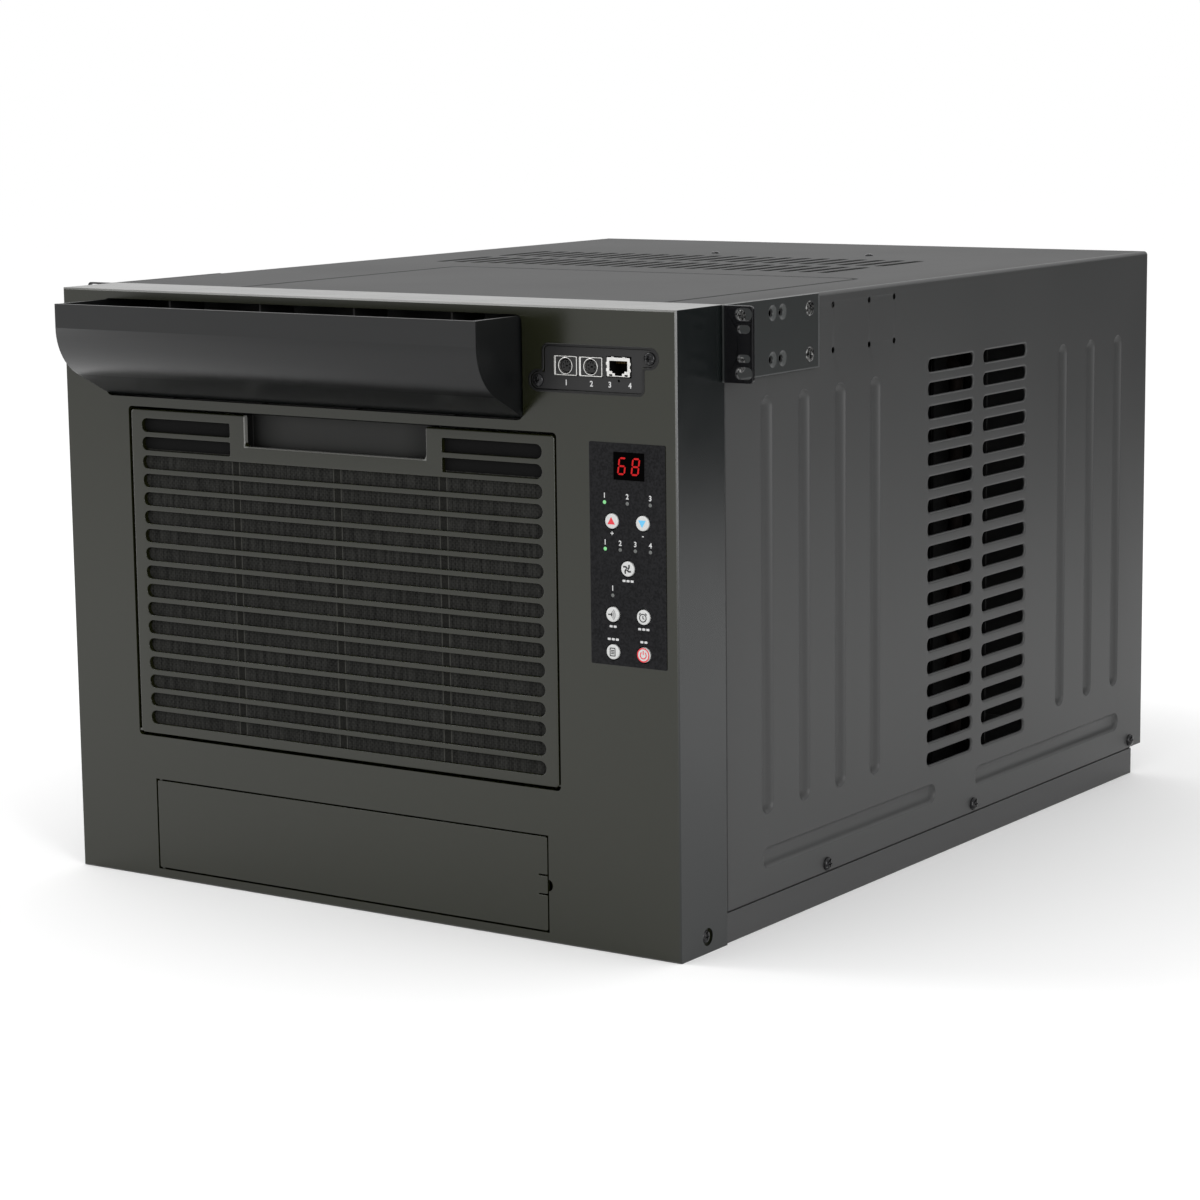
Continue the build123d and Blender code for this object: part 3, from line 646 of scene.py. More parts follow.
# Case screws: blackened cross-recessed screws, with pan heads on the case and flat heads in the ears.
# Handling has rubbed the blacking off their rims and recesses.
def turned(profile, steps=32):
    """A turned form: profile gives radius and height, starting or ending on the axis."""
    parts = bmesh.new()
    rings = []
    for radius, height in profile:
        if radius:
            rings.append([parts.verts.new((radius * cos(2 * pi * i / steps), radius * sin(2 * pi * i / steps), height))
                          for i in range(steps)])
        else:
            rings.append([parts.verts.new((0, 0, height))])
    for outer, inner in zip(rings, rings[1:]):
        for i in range(steps):
            j = (i + 1) % steps
            if len(inner) == 1:
                parts.faces.new((outer[i], outer[j], inner[0]))
            elif len(outer) == 1:
                parts.faces.new((outer[0], inner[j], inner[i]))
            else:
                parts.faces.new((outer[i], outer[j], inner[j], inner[i]))
    return parts


def copies(source, places):
    """The same form set in several places, as one bmesh."""
    parts = bmesh.new()
    scratch = bpy.data.meshes.new("scratch")
    source.to_mesh(scratch)
    for place in places:
        before = len(parts.verts)
        parts.from_mesh(scratch)
        parts.verts.ensure_lookup_table()
        bmesh.ops.transform(parts, matrix=place, verts=parts.verts[before:])
    bpy.data.meshes.remove(scratch)
    source.free()
    return parts


def hidden_tool(name, cutters):
    """A closed form that only cuts."""
    mesh = bpy.data.meshes.new(name)
    bmesh.ops.recalc_face_normals(cutters, faces=cutters.faces)
    cutters.to_mesh(mesh)
    cutters.free()
    tool = add_object(name, mesh)
    tool.hide_render = True
    tool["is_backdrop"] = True
    return tool


def cut_away(target, tool):
    cut = target.modifiers.new("holes", "BOOLEAN")
    cut.operation = "DIFFERENCE"
    cut.solver = "EXACT"
    cut.object = tool


def cross_headed(profile, reach):
    """A turned screw head with a tapered cross recess."""
    head = turned(profile)
    mesh = bpy.data.meshes.new("head")
    bmesh.ops.recalc_face_normals(head, faces=head.faces)
    head.to_mesh(mesh)
    head.free()
    blank = add_object("head", mesh)
    cutter = bmesh.new()
    rise = max(height for radius, height in profile)
    half = reach * 0.21
    outline = [(half, reach), (half, half), (reach, half), (reach, -half), (half, -half), (half, -reach),
               (-half, -reach), (-half, -half), (-reach, -half), (-reach, half), (-half, half), (-half, reach)]
    top = [cutter.verts.new((x, y, rise + 0.3 * mm)) for x, y in outline]
    foot = [cutter.verts.new((x * 0.45, y * 0.45, rise - reach * 0.75)) for x, y in outline]
    cutter.faces.new(top)
    cutter.faces.new(foot)
    band(cutter, [top, foot])
    tool = hidden_tool("cross", cutter)
    cut_away(blank, tool)
    bpy.context.view_layer.update()
    finished = bpy.data.meshes.new_from_object(blank.evaluated_get(bpy.context.evaluated_depsgraph_get()))
    bpy.data.objects.remove(blank)
    bpy.data.objects.remove(tool)
    parts = bmesh.new()
    parts.from_mesh(finished)
    return parts


def pan_head(radius, rise):
    profile = [(0, -0.3 * mm), (radius, -0.3 * mm), (radius, 0.2 * rise), (0.93 * radius, 0.55 * rise),
               (0.75 * radius, 0.85 * rise), (0.45 * radius, rise), (0, rise)]
    return cross_headed(profile, radius * 0.55)


def flat_head(radius, rise):
    profile = [(0, -radius * 0.6), (radius * 0.5, -radius * 0.6), (radius * 0.96, -0.08 * radius),
               (radius, 0.0), (radius * 0.95, rise * 0.6), (radius * 0.8, rise), (0, rise)]
    return cross_headed(profile, radius * 0.55)


black_screw, shader, place = new_finish("blackened_screw")
rub = place.noise(700.0, detail=4.0).step(0.56, 0.76)
settle(shader, Base_Color=rub.between(rgb(0.012, 0.012, 0.013), grey(0.12)),
       Metallic=0.6, Roughness=0.18 + rub * 0.16)


def screws(name, head, places, finish=black_screw):
    smooth_piece(mesh_piece(name, copies(head, places), finish, "unit"), 30.0)


case_screw_places = ((156.7, 23.3), (337.4, 23.8), (563.9, 24.0))
screws("case_screws", pan_head(4.0 * mm, 2.4 * mm),
       [on_side(way, y * mm, z * mm) for way in (1, -1) for y, z in case_screw_places])
top_screw_places = ((-40.0, 450.0), (71.0, 465.0))
screws("top_screws", pan_head(2.6 * mm, 1.2 * mm),
       [looking((x * mm, face_y + y * mm, unit_height), (1, 0, 0), (0, 1, 0)) for x, y in top_screw_places])
rear_margin = 9.0 * mm
rear_screw_columns = (rear_low.x + rear_margin, 0.0, rear_high.x - rear_margin)
rear_screw_rows = (rear_low.z + rear_margin, rear_high.z - rear_margin)
screws("rear_screws", pan_head(3.4 * mm, 2.0 * mm),
       [looking((x, rear_high.y, z), (-1, 0, 0), (0, 0, 1)) for x in rear_screw_columns for z in rear_screw_rows])

# Tray groove: the step pressed along each side of the tray, which the edge of the case sheet stands in.
# It leaves a dark gap under that edge.
groove_height, groove_depth = 1.7 * mm, 1.1 * mm
tray_low, tray_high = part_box("base_tray")
grooves = bmesh.new()
for way in (1, -1):
    wall = way * tray_high.x
    corners = [(wall - way * groove_depth, side_low.z - groove_height), (wall + way * 5 * mm, side_low.z - groove_height),
               (wall + way * 5 * mm, side_low.z), (wall - way * groove_depth, side_low.z)]
    ends = [[grooves.verts.new((x, y, z)) for x, z in corners] for y in (tray_low.y - 5 * mm, tray_high.y + 5 * mm)]
    band(grooves, ends)
    for end in ends:
        grooves.faces.new(end)
cut_away(nodes["base_tray"], hidden_tool("tray_groove_tool", grooves))

# Rack ears: bent steel angles, painted satin black and screwed to the upper case sides.
# Each has two large and two small rack slots in its flange and spare countersunk holes.
# The plate's rear and lower edges are coloured paler as a painted highlight, the flange is coloured far darker as
# painted shade, and the screws are worn bright.
ear_paint, shader, place = new_finish("ear_paint")
# Painted shade: the flange is coloured almost black, far darker than the plate.
flange = place.part("X").math("ABSOLUTE", place.part("X")).step(219.6 * mm, 220.6 * mm)
peel = place.noise(620.0, detail=2.0)
cloud = place.noise(9.0, detail=4.0)
satin = cloud.between(rgb(0.034, 0.037, 0.0365), rgb(0.042, 0.045, 0.0445))
ear_low, ear_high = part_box("rack_ear_right")
# Painted highlight: the plate's rear and lower edges are coloured paler.
rear_edge = place.part("Y").step(ear_high.y - 1.7 * mm, ear_high.y - 1.2 * mm)
lower_edge = (place.part("Z") * -1).step(-ear_low.z - 0.9 * mm, -ear_low.z - 0.5 * mm)
painted_edge_highlight = rear_edge.math("MAXIMUM", rear_edge, lower_edge)
plate_tone = painted_edge_highlight.between(satin, rgb(0.12, 0.125, 0.125))
settle(shader, Base_Color=flange.between(plate_tone, rgb(0.0022, 0.0022, 0.0030)), Roughness=0.32 - flange * 0.08,
       Normal=peel.bump(0.15, 0.03 * mm), Specular_IOR_Level=0.4)
worn_screw, shader, place = new_finish("worn_screw")
rub = place.noise(600.0, detail=4.0).step(0.40, 0.62)
settle(shader, Base_Color=rub.between(grey(0.04), rgb(0.26, 0.26, 0.255)), Metallic=0.9, Roughness=0.22 + rub * 0.14)
ear_sheet = 2.0 * mm
ear_screw_columns = (61.8, 134.7)
ear_screw_radius = 4.3 * mm
bit_reach = 1.0 * mm
for way, name in ((1, "rack_ear_right"), (-1, "rack_ear_left")):
    bit = turned([(0, bit_reach), (ear_screw_radius, bit_reach), (ear_screw_radius, 0.0),
                  (ear_hole_radius, -1.3 * mm), (ear_hole_radius, -ear_sheet - bit_reach),
                  (0, -ear_sheet - bit_reach)])
    spare = [on_side(way, y * mm, z * mm, ear_sheet) for y in ear_spare_columns for z in ear_rows]
    cut_away(nodes[name], hidden_tool(name + "_drills", copies(bit, spare)))
    dress(name, ear_paint, 0.3 * mm)
screws("ear_screws", flat_head(ear_screw_radius, 0.5 * mm),
       [on_side(way, y * mm, z * mm, ear_sheet + 0.02 * mm)
        for way in (1, -1) for y in ear_screw_columns for z in ear_rows], worn_screw)

# Front bezel: one deep moulding that holds the grille, outlet, ports and keypad.
# It is near-black olive plastic with a fine satin texture, screwed to the tray through its sides.
def satin_moulding(name, dark, light, roughness, gloss, flank_shade=None, rims=None):
    """Satin plastic with a spark texture.

    The colour for its two sides, if given, is darker and cooler than the front, as painted shade, and the rims mask,
    if given, picks rims coloured paler, as a painted highlight.
    """
    material, shader, place = new_finish(name)
    cloud = place.noise(7.0, detail=3.0)
    spark = place.noise(1500.0, detail=2.0)
    flow = place.noise(40.0, detail=2.0)
    tint = cloud * 0.7 + spark * 0.3
    colour = tint.between(rgb(*dark), rgb(*light))
    # Painted shade: the two sides get a darker, cooler colour than the front.
    if flank_shade:
        x = place.part("X")
        outside = x.math("ABSOLUTE", x).step(half_width - 1.0 * mm, half_width - 0.4 * mm)
        colour = outside.between(colour, rgb(*flank_shade))
    # Painted highlight: the rims picked by the mask are coloured paler.
    if rims:
        colour = rims(place).between(colour, rgb(0.16, 0.16, 0.15))
    settle(shader, Base_Color=colour, Roughness=roughness + (spark - 0.5) * 0.08 + (flow - 0.5) * 0.05,
           Normal=spark.bump(0.10, 0.02 * mm), Specular_IOR_Level=gloss)
    return material


olive_dark = (0.0066, 0.0076, 0.0014)
olive_light = (0.0096, 0.0106, 0.0032)
olive_roughness, olive_gloss = 0.22, 0.54
olive = (olive_dark, olive_light, olive_roughness, olive_gloss)
# Painted shade: the bezel's two sides are coloured darker and cooler than its front.
painted_flank_shade = (0.0055, 0.0072, 0.0074)
bezel_plastic = satin_moulding("bezel_plastic", *olive, flank_shade=painted_flank_shade)
bezel_screw_depth = 27.3 * mm
bezel_screw_height = 9.2 * mm
counterbore_radius = 5.0 * mm
counterbore_depth = 1.6 * mm
tab_notch_radius = 3.4 * mm
tab_notch_depth = 3.0 * mm
cover_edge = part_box("lower_cover")[1].x
tab_notch_clear = 0.4 * mm
tab_height = 32.6 * mm


def blind_bore(radius, depth):
    return turned([(0, 0.5 * mm), (radius, 0.5 * mm), (radius, -depth), (0, -depth)])


cutters = copies(blind_bore(counterbore_radius, counterbore_depth),
                 [on_side(way, bezel_screw_depth, bezel_screw_height) for way in (1, -1)])
notch_place = on_front(cover_edge + tab_notch_clear, tab_height)
notch = copies(blind_bore(tab_notch_radius, tab_notch_depth), [notch_place])
scratch = bpy.data.meshes.new("notch")
notch.to_mesh(scratch)
notch.free()
cutters.from_mesh(scratch)
cut_away(nodes["front_bezel"], hidden_tool("front_bezel_drills", cutters))
dress("front_bezel", bezel_plastic)
soften("front_bezel", 0.45 * mm, 34.0, 3)
screws("bezel_screws", pan_head(3.8 * mm, 1.5 * mm),
       [on_side(way, bezel_screw_depth, bezel_screw_height, -counterbore_depth) for way in (1, -1)])

# Outlet: a black moulded duct behind the bezel with four upright vanes inside its mouth.
# The curved scoop clips into the mouth and turns the cold air upwards.
duct_plastic = moulded_black("duct_plastic", 0.0045, 0.008, 0.5, 900.0)
dress("outlet_duct", duct_plastic, 0.4 * mm)
dress("outlet_vanes", duct_plastic, 0.4 * mm)
scoop_plastic = satin_moulding("scoop_plastic", (0.0026, 0.0030, 0.0033), (0.0045, 0.0049, 0.0052),
                               0.33, 0.40)
dress("air_scoop", scoop_plastic, 0.5 * mm)

# Air filter: a black moulded frame with three upright bars behind a fine woven mesh.
# It sits in the rim of the grille and comes out with it.
filter_plastic = moulded_black("filter_plastic", 0.0045, 0.007, 0.6, 800.0, 0.05)
dress("filter_frame", filter_plastic, 0.3 * mm)
filter_weave, shader, place = new_finish("filter_weave")
thread_pitch = 1.5 * mm
bar_middles = (-89.15, -14.1, 60.95)
bar_half = 3.0 * mm
warp = (place.part("X") * (2 * pi / thread_pitch)).sine()
weft = (place.part("Z") * (2 * pi / thread_pitch)).sine()
stagger = (place.part("X") * (pi / thread_pitch)).sine() * (place.part("Z") * (pi / thread_pitch)).sine()
thread = warp * 0.25 + weft * 0.15 + stagger * 0.35 + 0.5
slub = place.stretched(420.0, 420.0, 45.0).noise(1.0, detail=2.0).step(0.25, 0.75)
fleck = place.noise(700.0, detail=2.0).step(0.3, 0.7)
strands = thread * 0.35 + slub * 0.45 + fleck * 0.2
weave = strands.between(rgb(0.0035, 0.0035, 0.0033), rgb(0.041, 0.041, 0.038))
over_bar = 0.0
bar_line = 0.0
for middle in bar_middles:
    off = place.part("X") - middle * mm
    inside = 1 - off.math("ABSOLUTE", off).step(bar_half - 0.2 * mm, bar_half + 0.2 * mm)
    over_bar = inside + over_bar
    bar_line = inside * off.math("ABSOLUTE", off).step(bar_half - 0.9 * mm, bar_half - 0.5 * mm) + bar_line
pressed = fleck.between(rgb(0.012, 0.012, 0.011), rgb(0.018, 0.018, 0.016))
barred = bar_line.between(over_bar.between(weave, pressed), rgb(0.060, 0.060, 0.054))
settle(shader, Base_Color=barred, Roughness=0.9, Normal=thread.bump(0.5, 0.15 * mm),
       Specular_IOR_Level=0.08)
dress("filter_mesh", filter_weave)

# Intake grille: a panel of the bezel's own plastic with long round-ended slots; it tilts out on two pins.
# The finger cup is a separate trough bonded into its top edge.
# The left edge and the lip round the cup are coloured paler, as a painted highlight.
grille_left, grille_right = -167.0, 138.8
grille_bottom, grille_top = 88.5, 284.0
grille_corner = 2.5
grille_thickness = 3.0
grille_edge = 1.2
slot_edge = 0.5
grille_rim = 2.0
grille_rim_depth = 10.0
cup_left, cup_right, cup_bottom = -79.6, 51.4, 265.8
cup_corner = 3.0
cup_mouth_corner = 1.4
slot_left, slot_right = -158.6, 130.4
slot_inner_left, slot_inner_right = -90.9, 62.7
slot_first, slot_step, slot_half_height = 98.6, 11.0, 3.95
full_slots, short_slots = 15, 2
pin_radius, pin_length = 0.8, 2.6
pin_depth, pin_rise = 1.6, 1.4


def painted_rim_highlights(place):
    """The panel's left edge and the lip round the finger cup, coloured paler as a painted highlight."""
    from_middle = place.part("X") - (cup_left + cup_right) / 2 * mm
    beside = from_middle.math("ABSOLUTE", from_middle) - (cup_right - cup_left) / 2 * mm
    below = cup_bottom * mm - place.part("Z")
    away = beside.math("MAXIMUM", beside, below)
    lip = away.step(-0.2 * mm, 0.0) * (1 - away.step(0.4 * mm, 0.8 * mm))
    left_edge = 1 - place.part("X").step((grille_left + 0.5) * mm, (grille_left + 0.9) * mm)
    return lip.math("MAXIMUM", lip, left_edge)


grille_plastic = satin_moulding("grille_plastic", *olive, rims=painted_rim_highlights)
cover_plastic = satin_moulding("cover_plastic", *olive)


def scaled(corners):
    """Corners in millimetres as corners in metres."""
    return [(x * mm, y * mm, radius * mm) for x, y, radius in corners]


def plate(parts, outline, holes, thickness, edge, front=0.0, steps=3, hole_edge=None):
    """A moulded plate with rounded front rims on its outline and holes."""
    fronts = []
    backs = []
    for path, way, rim in [(outline, -1, edge)] + [(hole, 1, hole_edge or edge) for hole in holes]:
        loops = []
        for step in range(steps + 1):
            turn = pi / 2 * step / steps
            loops.append(lay(parts, grow(path, way * rim * (1 - sin(turn))), front + rim * (cos(turn) - 1)))
        loops.append(lay(parts, path, front - thickness))
        band(parts, loops)
        fronts.append(loops[0])
        backs.append(loops[-1])
    close_flat(parts, fronts)
    close_flat(parts, backs)


def prism(parts, outline, front, back):
    """A closed straight-sided form between two heights."""
    loops = [lay(parts, outline, front), lay(parts, outline, back)]
    band(parts, loops)
    close_flat(parts, [loops[0]])
    close_flat(parts, [loops[1]])


parts = bmesh.new()
outline = rounded_path(scaled([
    (grille_left, grille_bottom, grille_corner), (grille_right, grille_bottom, grille_corner),
    (grille_right, grille_top, grille_corner), (cup_right, grille_top, cup_mouth_corner),
    (cup_right, cup_bottom, cup_corner), (cup_left, cup_bottom, cup_corner),
    (cup_left, grille_top, cup_mouth_corner), (grille_left, grille_top, grille_corner)]))
slots = []
round_end, square_end = slot_half_height * 0.999, 0.9
for row in range(full_slots + short_slots):
    low_z = slot_first + row * slot_step - slot_half_height
    high_z = low_z + 2 * slot_half_height
    if row < full_slots:
        spans = [(slot_left, slot_right, round_end, round_end)]
    else:
        spans = [(slot_left, slot_inner_left, round_end, square_end),
                 (slot_inner_right, slot_right, square_end, round_end)]
    for x0, x1, left_end, right_end in spans:
        corners = [(x0, low_z, left_end), (x1, low_z, right_end),
                   (x1, high_z, right_end), (x0, high_z, left_end)]
        slots.append(rounded_path(scaled(corners), 8))
plate(parts, outline, slots, grille_thickness * mm, grille_edge * mm, steps=4, hole_edge=slot_edge * mm)
cup_clear = 2.4
rim_inset, rim_root = 0.05, 0.9
rim_corner, rim_end = 0.8, 0.2
rim_left, rim_right = grille_left + rim_inset, grille_right - rim_inset
rim_bottom, rim_top = grille_bottom + rim_inset, grille_top - rim_inset
inner_left, inner_right = grille_left + grille_rim, grille_right - grille_rim
inner_bottom, inner_top = grille_bottom + grille_rim, grille_top - grille_rim
rim = rounded_path(scaled([
    (cup_left - cup_clear, rim_top, rim_end), (rim_left, rim_top, grille_corner),
    (rim_left, rim_bottom, grille_corner), (rim_right, rim_bottom, grille_corner),
    (rim_right, rim_top, grille_corner), (cup_right + cup_clear, rim_top, rim_end),
    (cup_right + cup_clear, inner_top, rim_end), (inner_right, inner_top, rim_corner),
    (inner_right, inner_bottom, rim_corner), (inner_left, inner_bottom, rim_corner),
    (inner_left, inner_top, rim_corner), (cup_left - cup_clear, inner_top, rim_end)]))
prism(parts, rim, -rim_root * grille_thickness * mm, -grille_rim_depth * mm)
front_panel = mesh_piece("grille_panel", parts, grille_plastic, "grille", on_front(0, 0))
smooth_piece(front_panel)
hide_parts("intake_grille")


def in_metres(profile):
    """Radii and heights in millimetres as metres."""
    return [(radius * mm, height * mm) for radius, height in profile]


def hinge_pin(radius, length, tip):
    """A short moulded pin whose end tapers to a share of its radius."""
    root, taper = 0.5, 0.3
    profile = [(0, -root), (radius, -root), (radius, length - taper), (tip * radius, length), (0, length)]
    return turned(in_metres(profile), 16)


pin = hinge_pin(pin_radius, pin_length, 0.6)
pin_y = face_y + pin_depth * mm
pin_z = (grille_bottom + pin_rise) * mm
pins = copies(pin, [looking((grille_right * mm, pin_y, pin_z), (0, 1, 0), (0, 0, 1)),
                    looking((grille_left * mm, pin_y, pin_z), (0, -1, 0), (0, 0, 1))])
smooth_piece(mesh_piece("grille_pins", pins, grille_plastic, "grille"))
# Painted shade: the cup's back is coloured much darker towards its two ends.
cup_plastic, shader, place = new_finish("cup_plastic")
spark = place.noise(900.0, detail=3.0)
from_middle = place.part("X") - (cup_left + cup_right) / 2 * mm
cup_length = (cup_right - cup_left) * mm
shaded_ends = from_middle.math("ABSOLUTE", from_middle).step(0.3 * cup_length, 0.5 * cup_length)
settle(shader, Base_Color=shaded_ends.between(rgb(0.018, 0.0182, 0.0170), rgb(0.002, 0.002, 0.0018)),
       Roughness=0.5 + (spark - 0.5) * 0.15, Normal=spark.bump(0.2, 0.03 * mm), Specular_IOR_Level=0.2)
dress("finger_cup", cup_plastic, 0.3 * mm)

# Lower cover: a plain door of the same plastic that swings on two pins at its left edge.
# A sprung tab between two slits at its right edge holds it shut.
cover_left, cover_right = -155.5, 130.2
cover_bottom, cover_top = 6.5, 60.0
cover_corner = 1.2
cover_thickness = 2.5
cover_rim, cover_rim_depth = 1.6, 8.0
slit_heights = (27.1, 38.1)
slit_half, slit_length = 0.4, 6.0
corners = [(cover_left, cover_bottom, cover_corner), (cover_right, cover_bottom, cover_corner)]
for z in slit_heights:
    corners += [(cover_right, z - slit_half, 0.5), (cover_right - slit_length, z - slit_half, 0.36),
                (cover_right - slit_length, z + slit_half, 0.36), (cover_right, z + slit_half, 0.5)]
corners += [(cover_right, cover_top, cover_corner), (cover_left, cover_top, cover_corner)]
parts = bmesh.new()
plate(parts, rounded_path(scaled(corners)), [], cover_thickness * mm, 0.35 * mm)
rim_outer = rounded_box((cover_left + 0.1) * mm, (cover_right - slit_length - 0.6) * mm, (cover_bottom + 0.1) * mm,
                        (cover_top - 0.1) * mm, 1.0 * mm)
rim_parts = [lay(parts, rim_outer, -0.9 * cover_thickness * mm), lay(parts, rim_outer, -cover_rim_depth * mm),
             lay(parts, grow(rim_outer, -cover_rim * mm * 0.55), -cover_rim_depth * mm),
             lay(parts, grow(rim_outer, -cover_rim * mm * 0.55), -0.9 * cover_thickness * mm)]
band(parts, rim_parts + rim_parts[:1])
door = mesh_piece("cover_panel", parts, cover_plastic, "cover", on_front(0, 0))
smooth_piece(door)
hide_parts("lower_cover")
cover_pin_radius, cover_pin_length, cover_pin_inset = 1.2, 2.6, 1.8
pin = hinge_pin(cover_pin_radius, cover_pin_length, 0.7)
pin_x = (cover_left + cover_pin_inset) * mm
pin_y = face_y + cover_pin_inset * mm
pins = copies(pin, [looking((pin_x, pin_y, cover_top * mm), (1, 0, 0), (0, 1, 0)),
                    looking((pin_x, pin_y, cover_bottom * mm), (-1, 0, 0), (0, 1, 0))])
smooth_piece(mesh_piece("cover_pins", pins, cover_plastic, "cover"))

# Port plate: a sunk black steel plate held to the bezel by a screw through the ear at each end.
# A fine lip runs round its recess; it is coloured near-black as painted shade for the recess's shadow. White numbers
# are printed under the sockets, and a pinhole below the network jack reaches a switch behind.
port_paint = powder_coat("port_paint", (0.009, 0.009, 0.0092), (0.014, 0.014, 0.0142), 0.42, 0.03 * mm, 0.4)
port_out = face_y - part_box("card_plate")[0].y
port_screw_places = ((200.9, 327.9), (128.6, 313.6))
pinhole = turned([(0, 1 * mm), (0.7 * mm, 1 * mm), (0.7 * mm, -3 * mm), (0, -3 * mm)], 16)
pinhole_place = on_front(181 * mm, 315.3 * mm, port_out)
cut_away(nodes["card_plate"], hidden_tool("card_plate_drills", copies(pinhole, [pinhole_place])))
dress("card_plate", port_paint, 0.15 * mm)
screws("port_screws", pan_head(3.6 * mm, 1.7 * mm),
       [on_front(x * mm, z * mm, port_out) for x, z in port_screw_places])

lip_line = rounded_path(scaled([
    (124.0, 309.0, 4.5), (196.5, 309.0, 2.5), (196.5, 323.3, 2.2), (205.5, 323.3, 4.5), (205.5, 332.5, 4.5),
    (133.0, 332.5, 2.5), (133.0, 318.2, 2.2), (124.0, 318.2, 4.5)]))
parts = bmesh.new()
plate(parts, grow(lip_line, 1.5 * mm), [grow(lip_line, 0.2 * mm)], 0.8 * mm, 0.25 * mm, 0.3 * mm)
# Painted shade: the lip is near-black to stand in for the shadow in the port recess.
recess_shade_black = moulded_black("recess_shade_black", 0.0030, 0.005, 0.35, 900.0, 0.35)
smooth_piece(mesh_piece("port_lip", parts, recess_shade_black, "unit", on_front(0, 0)))

white_print, shader, place = new_finish("white_print")
wear = place.noise(1200.0, detail=2.0)
settle(shader, Base_Color=wear.between(grey(0.60), grey(0.74)), Roughness=0.55)


def printed(marks, size, out):
    """Flat printed characters on the front, each with its place."""
    parts = bmesh.new()
    for text, x, z in marks:
        line = bpy.data.curves.new("print", "FONT")
        line.body = text
        line.size = size
        line.align_x = "CENTER"
        line.align_y = "CENTER"
        line.extrude = 0.01 * mm
        line.offset = size * 0.022
        holder = add_object("print", line)
        mesh = bpy.data.meshes.new_from_object(holder)
        bpy.data.objects.remove(holder)
        mesh.transform(on_front(x * mm, z * mm, out + 0.015 * mm))
        parts.from_mesh(mesh)
        bpy.data.meshes.remove(mesh)
    return parts


port_marks = (("1", 147.0, 312.9), ("2", 163.4, 312.9), ("3", 175.3, 312.9), ("4", 188.2, 312.9))
mesh_piece("port_numbers", printed(port_marks, 4.2 * mm, port_out), white_print, "unit")

# Round sockets: two moulded bodies in bright shells; each has a plated ring round a keyed insulator.
# They are soldered to the board behind and look out through the port plate.
jack_shield, shader, place = new_finish("jack_shield")
smear = place.noise(300.0, detail=4.0)
settle(shader, Base_Color=smear.between(rgb(0.62, 0.62, 0.60), rgb(0.82, 0.81, 0.79)),
       Metallic=0.9, Roughness=0.25 + smear * 0.2)
socket_plastic = moulded_black("socket_plastic", 0.018, 0.026, 0.45, 1500.0, 0.35)
insulator = moulded_black("insulator", 0.022, 0.03, 0.5, 1500.0, 0.25)
pit_black = moulded_black("pit_black", 0.002, 0.003, 0.6, 900.0, 0.1)
socket_places = ((147.0, 322.2), (163.4, 322.2))
socket_half_width, socket_half_height = 7.45, 5.2
socket_radius = 4.6
socket_out = face_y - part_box("round_sockets")[0].y
pin_angles = (20.0, 70.0, 110.0, 160.0, 215.0, 325.0)


def at_sockets(source):
    return copies(source, [on_front(x * mm, z * mm, socket_out) for x, z in socket_places])


face_box = rounded_box(-6.3 * mm, 7.0 * mm, -4.8 * mm, 4.8 * mm, 0.5 * mm)
shell_box = rounded_box(-socket_half_width * mm, socket_half_width * mm, -socket_half_height * mm,
                        socket_half_height * mm, 0.6 * mm)
face_parts = bmesh.new()
plate(face_parts, face_box, [circle(0, 0, socket_radius * mm, 40)], 9.0 * mm, 0.2 * mm, -0.15 * mm)
socket_faces = mesh_piece("socket_faces", at_sockets(face_parts), socket_plastic, "unit")
smooth_piece(socket_faces)
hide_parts("round_sockets")
shell_parts = bmesh.new()
plate(shell_parts, shell_box, [face_box], 8.0 * mm, 0.12 * mm)
smooth_piece(mesh_piece("socket_shells", at_sockets(shell_parts), jack_shield, "unit"))
ring_profile = [(socket_radius, -0.3), (socket_radius, 0.0), (4.45, 0.12), (4.2, 0.0), (4.15, -3.5),
                (socket_radius, -3.5), (socket_radius, -0.3)]
ring = turned(in_metres(ring_profile), 40)
smooth_piece(mesh_piece("socket_rings", at_sockets(ring), jack_shield, "unit"))
core = bmesh.new()
pin_ring, pin_hole = 2.15 * mm, 0.42 * mm
core_holes = [circle(pin_ring * cos(radians(turn)), pin_ring * sin(radians(turn)), pin_hole, 12)
              for turn in pin_angles]
core_holes.append(rounded_box(-0.75 * mm, 0.75 * mm, -0.55 * mm, 0.35 * mm, 0.1 * mm, 2))
key_turn = 10.0
core_line = [Vector((3.35 * mm * cos(radians(90 + turn)), 3.35 * mm * sin(radians(90 + turn))))
             for turn in [key_turn + (360 - 2 * key_turn) * i / 40 for i in range(41)]]
core_line += [Vector((0.62 * mm, 2.8 * mm)), Vector((-0.62 * mm, 2.8 * mm))]
plate(core, core_line, core_holes, 4.5 * mm, 0.1 * mm, -1.2 * mm)
smooth_piece(mesh_piece("socket_cores", at_sockets(core), insulator, "unit"))
well_profile = [(0, -6.3), (4.2, -6.3), (4.2, -0.4), (socket_radius, -0.4), (socket_radius, -7.0), (0, -7.0)]
well = turned(in_metres(well_profile), 32)
smooth_piece(mesh_piece("socket_wells", at_sockets(well), pit_black, "unit"))

